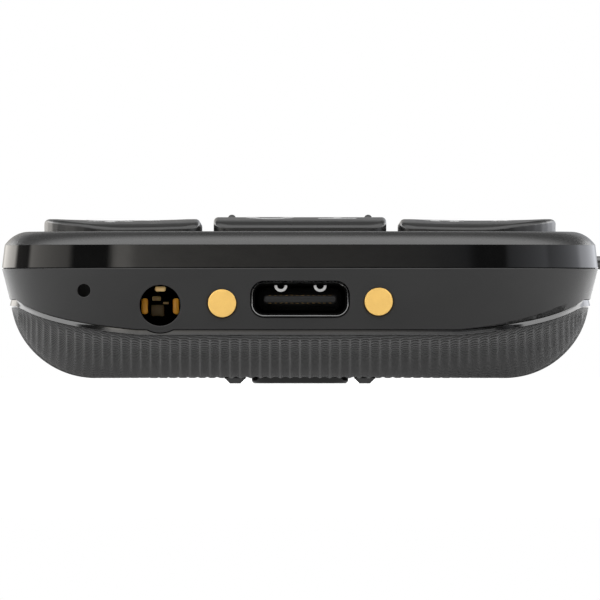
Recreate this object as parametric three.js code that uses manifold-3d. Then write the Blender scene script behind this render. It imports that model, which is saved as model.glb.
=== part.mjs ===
// A bar-type keypad mobile phone, lying on its back with the keys facing up.
// Frame: +X to the right of the bottom end, +Y from the bottom end (sockets) to the top end
// (earpiece), +Z out of the front face. The origin is under the middle of the body, on the plane
// that the camera surround and the two ridges of the back cover stand on. Units are millimetres.
import * as THREE from "three";
import { mergeVertices } from "three/addons/utils/BufferGeometryUtils.js";
import Module from "manifold-3d";

const wasm = await Module();
wasm.setup();

// ---------------------------------------------------------------- driving dimensions
const WIDTH = 55; // widest line of the body, the lower edge of the gloss ring
const LENGTH = 127;
const BACK_Z = 0.5; // back plane: the camera surround and the ridges stand this far proud of it
const FRONT_Z = BACK_Z + 13.5;
const END_DEPTH = 14; // how far each rounded end reaches along the body
const END_POWER = 2.6; // superellipse power of the rounded ends
const QUARTER_STEPS = 14; // outline steps in a quarter of the body

const RING_LOW = BACK_Z + 10.1;
const RING_HIGH = BACK_Z + 12.25;
const RING_LEAN = 0.25; // the ring's top edge lies this far inside its lower edge
const SEAM_SIDE = BACK_Z + 7.2; // seam between middle housing and back cover, along the sides
const SEAM_END = BACK_Z + 4.4; // the same seam across the two ends
const SEAM_FLAT = 1.35; // the seam is level this far in from each end, and then it climbs
const SEAM_SLOPE = 0.345;
const DRAFT = 0.254; // inward lean of the middle housing, per mm of height
const RIM = 0.6; // smooth polished band along the top of the back cover
const ROLL = 7.75; // how far in the cover's rounded edge reaches
const WALL = 1.2;
const SEAM_GAP = 0.05; // gap between housings that meet
const FIT_GAP = 0.3; // gap between a piece and the pocket it sits in

const BEVEL = 2.2; // width of the front housing's rounded edge
const BEVEL_TURN = 0.85; // the rounded edge turns through this angle, in radians
const PLATE_LOW = FRONT_Z - 1.65; // underside of the front plate
const SKIRT_LOW = 3; // lowest face of the middle housing, inside the cover
const DECK_LOW = 4.3; // top of the middle housing's floor, in its two pockets
const WEB_LOW = 7.3; // roof of the battery bay
const WEB_HIGH = 8.4;
const BOARD_LOW = 9.65;
const BOARD_HIGH = 10.45;

// keypad: three columns, four rows of figures, then call keys, and menu keys above them
const COLUMN_X = [-16.4, 0, 16.4];
const COLUMN_W = [14.4, 15.9, 14.4];
const ROW_Y = -51; // middle of the lowest row
const ROW_PITCH = 10.2;
const KEY_L = 8.7;
const CENTRE_TOP = FRONT_Z + 1.35; // crest of the middle column's keys
const OUTER_TOP = FRONT_Z + 1.17; // crest of the outer columns' keys
const KEY_LOW = 11.45;
const FLANGE_HIGH = KEY_LOW + 0.65;
const ROCKER_FLANGE_HIGH = KEY_LOW + 0.35; // thinner, so that the arrow rocker can tilt
const OK_KEY = 7.4; // width of the key in the middle of the arrow rocker
const KEY_FLANGE = 0.45; // how far a key's hidden flange stands out
const KEY_GAP = 0.3;
const NIB_X = 6.33; // the two finger nibs on key 5

// sockets in the bottom end
const USB = { z: 7.75, w: 8.94, h: 3.16, wall: 0.3, length: 7.3 };
const JACK = { x: -12.85, z: 7.18, r: 1.9 };
const JACK_COLLAR = 2.5; // the middle housing dips round the jack, below the seam
const CONTACTS = { left: { x: -7.15, z: 7.38 }, right: { x: 7.22, z: 7.54 } };
const CONTACT_R = 1.29;
const MIC = { x: -19.85, z: 8.55, r: 0.6 };

const WINDOW = { x: 20.8, low: 11.2, high: 56.4, radius: 3 }; // display window, half width and y span
const CAMERA = { w: 9.2, low: 33.5, high: 54.5, lensY: 48.6, flashY: 39.4 };
const RIDGE_X = 6.2; // the two ridges beside the camera surround
const BAY = { x: 20.4, low: -47.6, high: 7.6 };
const SCREW_SPOTS = { bottom: 8.6, top: 46 }; // y of the housing screws
const SCREW_X = 22.2;
const VOLUME = { low: -6, high: 12, zLow: 10.7, zHigh: 11.95, proud: 0.9 }; // volume rocker
const SWITCH = { x0: 22.4, x1: 23.7, y0: -2, y1: 6 }; // the switch behind it
const SWITCH_HIGH = 10.95; // low enough for the keys' travel above it

// ---------------------------------------------------------------- materials
const finish = (color, roughness, metalness = 0) =>
  new THREE.MeshStandardMaterial({ color, roughness, metalness });
const MATT = finish(0x2a2a2b, 0.5);
const GLOSS = finish(0x0c0c0d, 0.08);
const KEY = finish(0x242425, 0.45);
const TEXTURED = finish(0x2f2f30, 0.55);
const GLASS = finish(0x08090a, 0.05);
const GOLD = finish(0xeec16e, 0.3, 1);
const STEEL = finish(0xa8a8a8, 0.3, 1);
const BLACK = finish(0x0a0a0a, 0.5);
const BOARD = finish(0x1d4d2b, 0.5);
const RUBBER = finish(0x3b3b3d, 0.8);
const CELL = finish(0x3a3f45, 0.45);

// ---------------------------------------------------------------- solids
function toSolid(geometry) {
  const plain = geometry.index ? geometry.toNonIndexed() : geometry.clone();
  plain.deleteAttribute("normal");
  plain.deleteAttribute("uv");
  const merged = mergeVertices(plain, 1e-4);
  return new wasm.Manifold(
    new wasm.Mesh({
      numProp: 3,
      vertProperties: merged.attributes.position.array,
      triVerts: new Uint32Array(merged.index.array),
    }),
  );
}

function toGeometry(solid) {
  const mesh = solid.getMesh();
  const geometry = new THREE.BufferGeometry();
  geometry.setAttribute("position", new THREE.BufferAttribute(mesh.vertProperties, 3));
  geometry.setIndex(new THREE.BufferAttribute(mesh.triVerts, 1));
  geometry.computeVertexNormals();
  return geometry;
}

const union = (solids) => solids.reduce((all, one) => all.add(one));
const cutAll = (solid, cutters) => cutters.reduce((left, cutter) => left.subtract(cutter), solid);

function box(x0, x1, y0, y1, z0, z1) {
  const geometry = new THREE.BoxGeometry(x1 - x0, y1 - y0, z1 - z0);
  return toSolid(geometry.translate((x0 + x1) / 2, (y0 + y1) / 2, (z0 + z1) / 2));
}

// A shape drawn in X and Y, standing from z0 to z1.
function prism(shape, z0, z1, curveSegments = 4) {
  const geometry = new THREE.ExtrudeGeometry(shape, {
    depth: z1 - z0,
    bevelEnabled: false,
    curveSegments,
  });
  return toSolid(geometry.translate(0, 0, z0));
}

// A shape drawn in X and Z, as seen from the bottom end, reaching from y0 to y1.
function endPrism(shape, y0, y1, curveSegments = 6) {
  const geometry = new THREE.ExtrudeGeometry(shape, {
    depth: y1 - y0,
    bevelEnabled: false,
    curveSegments,
  });
  return toSolid(geometry.rotateX(Math.PI / 2).translate(0, y1, 0));
}

// A shape drawn in Y and Z, reaching from x0 to x1.
function sidePrism(shape, x0, x1, curveSegments = 3) {
  const geometry = new THREE.ExtrudeGeometry(shape, {
    depth: x1 - x0,
    bevelEnabled: false,
    curveSegments,
  });
  return toSolid(geometry.rotateX(Math.PI / 2).rotateZ(Math.PI / 2).translate(x0, 0, 0));
}

function circle(x, y, r) {
  const shape = new THREE.Shape();
  shape.absarc(x, y, r, 0, 2 * Math.PI);
  return shape;
}

// A rectangle with its own radius at each corner: low left, low right, high right, high left.
function roundedRect(x0, x1, y0, y1, radii) {
  const [a, b, c, d] = Array.isArray(radii) ? radii : [radii, radii, radii, radii];
  const shape = new THREE.Shape();
  shape.absarc(x1 - b, y0 + b, b, -Math.PI / 2, 0);
  shape.absarc(x1 - c, y1 - c, c, 0, Math.PI / 2);
  shape.absarc(x0 + d, y1 - d, d, Math.PI / 2, Math.PI);
  shape.absarc(x0 + a, y0 + a, a, Math.PI, 1.5 * Math.PI);
  return shape;
}

function polygon(points) {
  return new THREE.Shape(points.map(([x, y]) => new THREE.Vector2(x, y)));
}

const cylinder = (x, y, r, z0, z1, steps = 6) => prism(circle(x, y, r), z0, z1, steps);

// ---------------------------------------------------------------- the body's outline
// Where the outline is at each step: t runs through a quarter turn at each rounded corner.
const STEPS = [];
for (let corner = 0; corner < 4; corner++) {
  for (let i = 0; i <= QUARTER_STEPS; i++) {
    const t = (i / QUARTER_STEPS) * (Math.PI / 2);
    const forward = corner % 2 === 0;
    if ((corner === 1 || corner === 3) && i === 0) continue; // the end's middle is there already
    STEPS.push({
      across: Math.cos(forward ? t : Math.PI / 2 - t) ** (2 / END_POWER),
      along: Math.sin(forward ? t : Math.PI / 2 - t) ** (2 / END_POWER),
      signX: corner === 0 || corner === 3 ? 1 : -1,
      signY: corner < 2 ? 1 : -1,
    });
  }
}

function outlinePoint(step, inset, z) {
  const x = (WIDTH / 2 - inset) * step.across;
  const y = LENGTH / 2 - END_DEPTH + (END_DEPTH - inset) * step.along;
  return new THREE.Vector3(step.signX * x, step.signY * y, z);
}

// Height of the seam between middle housing and back cover, at a step of the outline.
function seamZ(step) {
  const fromEnd = END_DEPTH * (1 - step.along);
  const climb = Math.max(0, fromEnd - SEAM_FLAT) * SEAM_SLOPE;
  return Math.min(SEAM_SIDE, SEAM_END + climb);
}

const seamInset = (step) => DRAFT * (RING_LOW - seamZ(step));
const rimLow = (step) => seamZ(step) - RIM;

// One ring of points round the body. inset and z are numbers, or functions of the step.
function ring(inset, z) {
  const at = (value, step) => (typeof value === "function" ? value(step) : value);
  return STEPS.map((step) => outlinePoint(step, at(inset, step), at(z, step)));
}

// A closed solid through rings from low to high, with a flat fan over each end.
function loft(rings) {
  const positions = [];
  const triangle = (a, b, c) => positions.push(...a.toArray(), ...b.toArray(), ...c.toArray());
  const middle = (points) =>
    points.reduce((sum, p) => sum.add(p), new THREE.Vector3()).divideScalar(points.length);
  const count = STEPS.length;
  for (let k = 0; k + 1 < rings.length; k++) {
    for (let i = 0; i < count; i++) {
      const j = (i + 1) % count;
      triangle(rings[k][i], rings[k][j], rings[k + 1][j]);
      triangle(rings[k][i], rings[k + 1][j], rings[k + 1][i]);
    }
  }
  const low = rings[0];
  const high = rings.at(-1);
  const lowMiddle = middle(low);
  const highMiddle = middle(high);
  for (let i = 0; i < count; i++) {
    const j = (i + 1) % count;
    triangle(lowMiddle, low[j], low[i]);
    triangle(highMiddle, high[i], high[j]);
  }
  const geometry = new THREE.BufferGeometry();
  geometry.setAttribute("position", new THREE.Float32BufferAttribute(positions, 3));
  return toSolid(geometry);
}

const slab = (inset, z0, z1) => loft([ring(inset, z0), ring(inset, z1)]);

// The rounded underside: rings from the flat at height floor up to the rim, wall inside the outside.
function rolledRings(wall, floor, steps = 6) {
  const rings = [];
  for (let k = 0; k <= steps; k++) {
    const turn = ((steps - k) / steps) * (Math.PI / 2);
    rings.push(
      ring(
        (s) => seamInset(s) + wall + (ROLL - wall) * (1 - Math.cos(turn)),
        (s) => rimLow(s) - (rimLow(s) - floor) * Math.sin(turn),
      ),
    );
  }
  return rings;
}

// ---------------------------------------------------------------- keys
const KEY_NAMES = ["star", "0", "hash", "7", "8", "9", "4", "5", "6", "1", "2", "3"];
const CORNER = 1.6;
const OUTER_CORNER = 7; // the lowest row's outer corners follow the body's end
const keyPlan = (name, column, row) => ({
  name,
  x: COLUMN_X[column],
  y: ROW_Y + row * ROW_PITCH,
  w: COLUMN_W[column],
  l: KEY_L,
  top: column === 1 ? CENTRE_TOP : OUTER_TOP,
  flangeTop: FLANGE_HIGH,
  radii: [CORNER, CORNER, CORNER, CORNER],
});
const keyPlans = KEY_NAMES.map((label, i) => keyPlan(`key_${label}`, i % 3, Math.floor(i / 3)));
keyPlans[0].radii[0] = OUTER_CORNER;
keyPlans[2].radii[1] = OUTER_CORNER;
keyPlans.push(keyPlan("call_key", 0, 4), keyPlan("end_key", 2, 4));
keyPlans.push(keyPlan("menu_key", 0, 5), keyPlan("back_key", 2, 5));

const arrowPlan = {
  ...keyPlan("arrow_rocker", 1, 4.5),
  l: KEY_L + ROW_PITCH,
  flangeTop: ROCKER_FLANGE_HIGH,
  radii: [3, 3, 3, 3],
};
const okPlan = {
  ...keyPlan("ok_key", 1, 4.5),
  w: OK_KEY,
  l: OK_KEY,
  flat: true,
  radii: [2, 2, 2, 2],
};

const keyShape = (key, grow) =>
  roundedRect(
    -key.w / 2 - grow,
    key.w / 2 + grow,
    -key.l / 2 - grow,
    key.l / 2 + grow,
    key.radii.map((r) => r + grow),
  );

// The top of a key falls towards the bottom end of the phone, most of all over its last millimetre.
function frontDrop(key) {
  const front = -key.l / 2;
  const fall = polygon([
    [front - 1, FRONT_Z + 0.1],
    [front, FRONT_Z + 0.45],
    [front + 1, FRONT_Z + 0.8],
    [front + 5, key.top],
    [front + 5, key.top + 1],
    [front - 1, key.top + 1],
  ]);
  return sidePrism(fall, -key.w / 2 - 1, key.w / 2 + 1);
}

function keySolid(key) {
  const edge = 0.4;
  const cap = new THREE.ExtrudeGeometry(keyShape(key, -edge), {
    depth: key.top - KEY_LOW - 2 * edge,
    bevelSize: edge,
    bevelThickness: edge,
    bevelSegments: 1,
    curveSegments: 2,
  }).translate(0, 0, KEY_LOW + edge);
  const flange = prism(keyShape(key, KEY_FLANGE), KEY_LOW, key.flangeTop, 2);
  const body = key.flat ? toSolid(cap) : toSolid(cap).subtract(frontDrop(key));
  return body.add(flange);
}

// Key 5 has a nib at each side, for finding it by touch.
function nibs(key) {
  const spheres = [-1, 1].map((side) =>
    toSolid(new THREE.SphereGeometry(0.4, 8, 6).translate(side * NIB_X, 0, key.top - 0.05)),
  );
  return union(spheres);
}

// The arrow rocker has a well for the OK key, wide below for that key's flange.
function arrowSolid() {
  const well = prism(keyShape(okPlan, KEY_GAP), KEY_LOW - 1, CENTRE_TOP + 1, 2);
  const flangeRoom = prism(keyShape(okPlan, KEY_FLANGE + KEY_GAP), KEY_LOW - 1, 12.6, 2);
  return cutAll(keySolid(arrowPlan), [well, flangeRoom]);
}

const keyOpening = (key) => {
  const solid = prism(keyShape(key, KEY_GAP), PLATE_LOW - 1, FRONT_Z + 1, 2);
  return solid.translate([key.x, key.y, 0]);
};

// ---------------------------------------------------------------- cutters shared by housings
const volumeCut = box(
  WIDTH / 2 - 3.7,
  WIDTH / 2 + 2,
  VOLUME.low - FIT_GAP,
  VOLUME.high + FIT_GAP,
  VOLUME.zLow - FIT_GAP,
  VOLUME.zHigh + FIT_GAP,
);
const switchRoom = box(
  SWITCH.x0 - 0.2,
  WIDTH / 2,
  VOLUME.low - 1,
  VOLUME.high + 1,
  WEB_HIGH,
  PLATE_LOW,
);
const screwSpots = [-1, 1].flatMap((side) =>
  Object.entries(SCREW_SPOTS).map(([end, y]) => ({
    name: `housing_screw_${end}_${side < 0 ? "left" : "right"}`,
    x: side * SCREW_X,
    y,
  })),
);

// ---------------------------------------------------------------- housings
function frontHousing() {
  const low = RING_HIGH + SEAM_GAP;
  const bevel = [4, 3, 2, 1, 0].map((k) => {
    const turn = (k / 4) * BEVEL_TURN;
    const inset = BEVEL * (1 - Math.sin(turn) / Math.sin(BEVEL_TURN));
    const fall = ((FRONT_Z - low) * (1 - Math.cos(turn))) / (1 - Math.cos(BEVEL_TURN));
    return ring(RING_LEAN + inset, FRONT_Z - fall);
  });
  const skirtInset = 1.6;
  const skirtLow = RING_LOW + 0.25;
  const outer = loft([
    ring(skirtInset, skirtLow),
    ring(skirtInset, low),
    ...bevel,
  ]);
  const hollow = slab(skirtInset + 1.1, skirtLow - 1, PLATE_LOW);
  const windowRecess = prism(
    roundedRect(
      -WINDOW.x - FIT_GAP,
      WINDOW.x + FIT_GAP,
      WINDOW.low - FIT_GAP,
      WINDOW.high + FIT_GAP,
      WINDOW.radius,
    ),
    FRONT_Z - 1.1,
    FRONT_Z + 1,
  );
  const windowOpening = prism(
    roundedRect(-19.2, 19.2, WINDOW.low + 1.8, WINDOW.high - 1.8, 1),
    PLATE_LOW - 1,
    FRONT_Z,
  );
  const earSlot = prism(roundedRect(-5, 5, 57.9, 59.3, 0.69), PLATE_LOW - 1, FRONT_Z + 1);
  const bosses = screwSpots.map((s) => cylinder(s.x, s.y, 1.7, WEB_HIGH + 0.2, PLATE_LOW + 0.2));
  const holes = screwSpots.map((s) => cylinder(s.x, s.y, 1.1, WEB_HIGH, PLATE_LOW));
  return cutAll(outer.subtract(hollow).add(union(bosses)), [
    windowRecess,
    windowOpening,
    earSlot,
    volumeCut,
    ...holes,
    ...[...keyPlans, arrowPlan].map(keyOpening),
  ]);
}

function glossRing() {
  const outer = loft([
    ring(0, RING_LOW + SEAM_GAP),
    ring(RING_LEAN, RING_HIGH),
  ]);
  return outer.subtract(slab(1.3, RING_LOW - 1, RING_HIGH + 1)).subtract(volumeCut);
}

// The nail recess for opening the back cover: a scoop in the middle housing's lower right corner.
function nailRecess() {
  const scoop = polygon([
    [15.3, SEAM_END - 1],
    [24.4, SEAM_END - 1],
    [24.4, 7.3],
    [23.2, 7.2],
    [23.2, 6.8],
    [19.6, 5.8],
    [15.3, SEAM_END + 0.3],
  ]);
  const skin = slab(-1, 3, 9).subtract(slab(2.5, 2, 10));
  return endPrism(scoop, -LENGTH / 2 - 1, -LENGTH / 2 + END_DEPTH).intersect(skin);
}

function socketCuts() {
  const outside = -LENGTH / 2 - 1;
  const usbShape = roundedRect(
    -USB.w / 2 - 0.15,
    USB.w / 2 + 0.15,
    USB.z - USB.h / 2 - 0.15,
    USB.z + USB.h / 2 + 0.15,
    1.3,
  );
  return [
    endPrism(usbShape, outside, -54),
    endPrism(circle(JACK.x, JACK.z, JACK.r), outside, -57, 8),
    endPrism(circle(JACK.x, JACK.z, 2.6), -59.6, -57, 6),
    ...Object.values(CONTACTS).map((c) => endPrism(circle(c.x, c.z, CONTACT_R + 0.3), outside, -57)),
    endPrism(circle(MIC.x, MIC.z, MIC.r), outside, -55, 4),
  ];
}

function middleHousing() {
  const inSkirt = WALL + FIT_GAP;
  const lip = (s) => seamZ(s) + SEAM_GAP;
  const shell = loft([
    ...rolledRings(inSkirt, SKIRT_LOW, 5),
    ring((s) => seamInset(s) + inSkirt, lip),
    ring(seamInset, lip),
    ring(0.02, RING_LOW),
  ]);
  const collarSkin = loft([ring(DRAFT * (RING_LOW - 4), 4), ring(0.02, RING_LOW)]);
  const collar = endPrism(circle(JACK.x, JACK.z, JACK_COLLAR), -LENGTH / 2, -59, 8);
  const outer = shell.add(collar.intersect(collarSkin));
  const upperCavity = slab(2.1, WEB_HIGH, RING_LOW + 1);
  const socketPocket = prism(roundedRect(-16.5, 16.5, -57.6, -48.8, 1), DECK_LOW, WEB_HIGH + 1);
  const topPocket = prism(roundedRect(-17.5, 17.5, 9.2, 57, 6), DECK_LOW, WEB_HIGH + 1);
  const micPocket = box(-21.6, -18.2, -57.4, -54, 7, WEB_HIGH + 1);
  const bay = box(-BAY.x, BAY.x, BAY.low, BAY.high, SKIRT_LOW - 1, WEB_LOW);
  const cameraHole = cylinder(0, CAMERA.lensY, 3.1, SKIRT_LOW - 1, DECK_LOW + 1);
  const flashHole = cylinder(0, CAMERA.flashY, 1.3, SKIRT_LOW - 1, DECK_LOW + 1);
  const soundHole = box(-6, 6, 21, 27, SKIRT_LOW - 1, DECK_LOW + 1);
  const counterbores = screwSpots.map((s) => cylinder(s.x, s.y, 1.65, 0, 5.75));
  const screwHoles = screwSpots.map((s) => cylinder(s.x, s.y, 1.1, 5, WEB_HIGH + 1));
  return cutAll(outer, [
    upperCavity,
    socketPocket,
    topPocket,
    micPocket,
    bay,
    cameraHole,
    flashHole,
    soundHole,
    volumeCut,
    nailRecess(),
    ...counterbores,
    ...screwHoles,
    ...socketCuts(),
  ]);
}

// A ridge beside the camera surround, wide at its foot and with sloping ends.
function ridge(x) {
  const foot = 1;
  const crest = 0.5;
  const slope = 1.5;
  const profile = polygon([
    [x - foot, BACK_Z + 0.3],
    [x - foot, BACK_Z],
    [x - crest, 0],
    [x + crest, 0],
    [x + foot, BACK_Z],
    [x + foot, BACK_Z + 0.3],
  ]);
  const length = endPrism(profile, CAMERA.low, CAMERA.high);
  const ends = polygon([
    [CAMERA.low, BACK_Z + 0.4],
    [CAMERA.low, BACK_Z],
    [CAMERA.low + slope, -0.01],
    [CAMERA.high - slope, -0.01],
    [CAMERA.high, BACK_Z],
    [CAMERA.high, BACK_Z + 0.4],
  ]);
  return length.intersect(sidePrism(ends, x - 2, x + 2));
}

function backCover() {
  const outer = loft([...rolledRings(0, BACK_Z, 7), ring(seamInset, seamZ)]);
  const inner = loft([
    ...rolledRings(WALL, BACK_Z + WALL, 6),
    ring((s) => seamInset(s) + WALL, (s) => seamZ(s) + 1),
  ]);
  const cameraOpening = prism(
    roundedRect(-CAMERA.w / 2 - 0.3, CAMERA.w / 2 + 0.3, CAMERA.low - 0.3, CAMERA.high + 0.3, 2.3),
    -1,
    SKIRT_LOW,
  );
  const slots = [-3, -2, -1, 0, 1, 2, 3].map((i) =>
    box(i * 1.86 - 0.4, i * 1.86 + 0.4, 21, 27, -1, SKIRT_LOW),
  );
  const collarRoom = endPrism(circle(JACK.x, JACK.z, JACK_COLLAR + 0.1), -65, -58.7, 8);
  return cutAll(outer.subtract(inner), [cameraOpening, collarRoom, ...slots])
    .add(ridge(-RIDGE_X))
    .add(ridge(RIDGE_X));
}

// ---------------------------------------------------------------- sockets and contacts
const stadium = (half, high, z, r) => roundedRect(-half, half, z - high, z + high, r);

function usbShell() {
  const mouth = -62.6;
  const outside = endPrism(stadium(USB.w / 2, USB.h / 2, USB.z, 1.2), mouth, mouth + USB.length);
  const inside = stadium(USB.w / 2 - USB.wall, USB.h / 2 - USB.wall, USB.z, 1.1);
  return outside.subtract(endPrism(inside, mouth - 1, mouth + USB.length - 0.3));
}

function usbTongue() {
  const back = -62.6 + USB.length - 0.4;
  const root = endPrism(stadium(3.9, 1.05, USB.z, 0.9), back - 1.1, back);
  return root.add(box(-3.35, 3.35, back - 6, back - 1, USB.z - 0.35, USB.z + 0.35));
}

function jackBody() {
  const nose = endPrism(circle(JACK.x, JACK.z, 2.3), -59.3, -57);
  const block = box(JACK.x - 3.2, JACK.x + 3.2, -57.2, -49.2, 4.55, 9.5);
  return nose.add(block).subtract(endPrism(circle(JACK.x, JACK.z, 1.85), -62, -50, 8));
}

// A leaf spring inside the jack, a thin strip at a spot of its bore.
const jackSprings = {
  jack_spring_sleeve: box(JACK.x - 0.6, JACK.x + 0.6, -59.1, -58, JACK.z + 1.2, JACK.z + 1.45),
  jack_spring_left: box(JACK.x - 1.6, JACK.x - 1.25, -58.5, -55.5, JACK.z - 0.6, JACK.z + 0.6),
  jack_spring_right: box(JACK.x + 1.25, JACK.x + 1.6, -58.5, -55.5, JACK.z - 0.6, JACK.z + 0.6),
  jack_spring_tip: box(JACK.x - 0.75, JACK.x + 0.2, -52.6, -51.6, JACK.z + 0.4, JACK.z + 0.85),
};

const chargeContact = (c) => endPrism(circle(c.x, c.z, CONTACT_R), -62.7, -57.2, 6);

function volumeRocker() {
  const shape = roundedRect(VOLUME.low, VOLUME.high, VOLUME.zLow, VOLUME.zHigh, 0.5);
  return sidePrism(shape, WIDTH / 2 - 3.3, WIDTH / 2 + VOLUME.proud);
}

// ---------------------------------------------------------------- screen, camera, inner pieces
const displayWindow = () =>
  prism(
    roundedRect(-WINDOW.x, WINDOW.x, WINDOW.low, WINDOW.high, WINDOW.radius - 0.3),
    FRONT_Z - 1.05,
    FRONT_Z - 0.02,
  );

function earpieceMesh() {
  const plate = prism(roundedRect(-4.7, 4.7, 58.2, 59, 0.39), 13.2, 13.6);
  const pores = [-3.6, -1.8, 0, 1.8, 3.6].map((x) => box(x - 0.3, x + 0.3, 58.35, 58.85, 13, 14));
  return cutAll(plate, pores);
}

function cameraSurround() {
  const shape = roundedRect(-CAMERA.w / 2, CAMERA.w / 2, CAMERA.low, CAMERA.high, 2);
  const body = prism(shape, 0, SKIRT_LOW - 0.05);
  return cutAll(body, [
    cylinder(0, CAMERA.lensY, 3.2, -1, 1),
    cylinder(0, CAMERA.lensY, 2.7, 0.5, SKIRT_LOW + 1),
    cylinder(0, CAMERA.flashY, 1.5, -1, 1.2),
  ]);
}

function cameraModule() {
  const block = box(-4.2, 4.2, CAMERA.lensY - 4.2, CAMERA.lensY + 4.2, DECK_LOW + 0.1, 9.4);
  return block.add(cylinder(0, CAMERA.lensY, 2.4, 1.3, DECK_LOW + 0.5));
}

function mainBoard() {
  const plate = slab(3.4, BOARD_LOW, BOARD_HIGH);
  const bossRooms = screwSpots.map((s) => cylinder(s.x, s.y, 2.1, BOARD_LOW - 1, BOARD_HIGH + 1));
  return cutAll(plate, [...bossRooms, switchRoom]);
}

function keypadMat() {
  const low = ROW_Y - KEY_L / 2;
  const high = ROW_Y + 5 * ROW_PITCH + KEY_L / 2;
  const shape = roundedRect(-23.2, 23.2, low, high, [5, 5, 1, 1]);
  return prism(shape, BOARD_HIGH + 0.05, BOARD_HIGH + 0.55).subtract(switchRoom);
}

function simHolder() {
  const plate = prism(roundedRect(-17.5, -8.5, 12, 29, 1), 1.95, SKIRT_LOW - 0.05);
  return plate.subtract(box(-16.6, -9.4, 12.8, 24, 1, 2.4));
}

function memoryCardHolder() {
  const plate = prism(roundedRect(8.5, 17.5, 14, 28, 0.8), 1.95, SKIRT_LOW - 0.05);
  return plate.subtract(box(9.3, 16.7, 14.8, 23, 1, 2.4));
}

function batteryConnector() {
  const block = box(-5, 5, 5.6, 7.3, 3.4, WEB_LOW - 0.1);
  return cutAll(block, [-3, 0, 3].map((x) => box(x - 0.6, x + 0.6, 5, 6, 3.9, 6)));
}

function screw(spot) {
  const head = cylinder(spot.x, spot.y, 1.35, 4.75, 5.65);
  const shank = cylinder(spot.x, spot.y, 0.8, 5.6, PLATE_LOW - 0.4);
  const slot = box(spot.x - 0.9, spot.x + 0.9, spot.y - 0.18, spot.y + 0.18, 4, 5.1);
  const cross = box(spot.x - 0.18, spot.x + 0.18, spot.y - 0.9, spot.y + 0.9, 4, 5.1);
  return cutAll(head.add(shank), [slot, cross]);
}

// ---------------------------------------------------------------- assembly
const phone = new THREE.Group();

function add(name, solid, material, x = 0, y = 0) {
  const mesh = new THREE.Mesh(toGeometry(solid), material);
  mesh.name = name;
  mesh.position.set(x, y, 0);
  phone.add(mesh);
}

add("front_housing", frontHousing(), MATT);
add("gloss_ring", glossRing(), GLOSS);
add("middle_housing", middleHousing(), MATT);
add("back_cover", backCover(), TEXTURED);
for (const key of [...keyPlans, okPlan]) {
  const solid = key.name === "key_5" ? keySolid(key).add(nibs(key)) : keySolid(key);
  add(key.name, solid, KEY, key.x, key.y);
}
add(arrowPlan.name, arrowSolid(), KEY, arrowPlan.x, arrowPlan.y);
add("volume_rocker", volumeRocker(), GLOSS);
const { x0, x1, y0, y1 } = SWITCH;
add("volume_switch", box(x0, x1, y0, y1, BOARD_LOW - 0.2, SWITCH_HIGH), STEEL);

add("display_window", displayWindow(), GLASS);
add("display_panel", box(-19.8, 19.8, 12.8, 55, BOARD_HIGH + 0.15, PLATE_LOW - 0.15), GLASS);
add("earpiece_mesh", earpieceMesh(), STEEL);
add("earpiece_receiver", box(-6, 6, 55.4, 60, BOARD_HIGH + 0.15, PLATE_LOW - 0.15), BLACK);

add("usb_port_shell", usbShell(), STEEL);
add("usb_port_tongue", usbTongue(), BLACK);
add("audio_jack_body", jackBody(), BLACK);
Object.entries(jackSprings).forEach(([name, solid]) => add(name, solid, GOLD));
add("charge_contact_left", chargeContact(CONTACTS.left), GOLD);
add("charge_contact_right", chargeContact(CONTACTS.right), GOLD);
add("microphone", box(-21.3, -18.5, -56.2, -54.3, 7.2, 9.5), STEEL);
add("microphone_seal", box(-21.3, -18.5, -57.2, -56.3, 7.2, 9.5), RUBBER);

add("camera_surround", cameraSurround(), GLOSS);
add("camera_lens_window", cylinder(0, CAMERA.lensY, 2.9, 0.2, 0.45, 8), GLASS);
add("camera_module", cameraModule(), BLACK);
add("flash_lens", cylinder(0, CAMERA.flashY, 1.25, 0.2, 1.1), GLASS);
add("loudspeaker", prism(roundedRect(-8, 8, 19, 29, 2), DECK_LOW + 0.1, 8), BLACK);
add("vibration_motor", cylinder(12, 50, 4, DECK_LOW + 0.1, 7.2, 8), STEEL);
add("sim_holder", simHolder(), STEEL);
add("memory_card_holder", memoryCardHolder(), STEEL);

add("main_board", mainBoard(), BOARD);
add("shield_can", prism(roundedRect(-15, 15, -40, 2, 1), WEB_HIGH + 0.1, BOARD_LOW - 0.05), STEEL);
add("keypad_mat", keypadMat(), RUBBER);
add("battery", prism(roundedRect(-20, 20, BAY.low + 0.4, 5.2, 1.2), 2.4, 7), CELL);
add("battery_connector", batteryConnector(), BLACK);
screwSpots.forEach((spot) => add(spot.name, screw(spot), STEEL));

export default phone;
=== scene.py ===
"""A bar-type keypad phone lying on a pale floor, seen from its bottom end."""
import math

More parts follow.
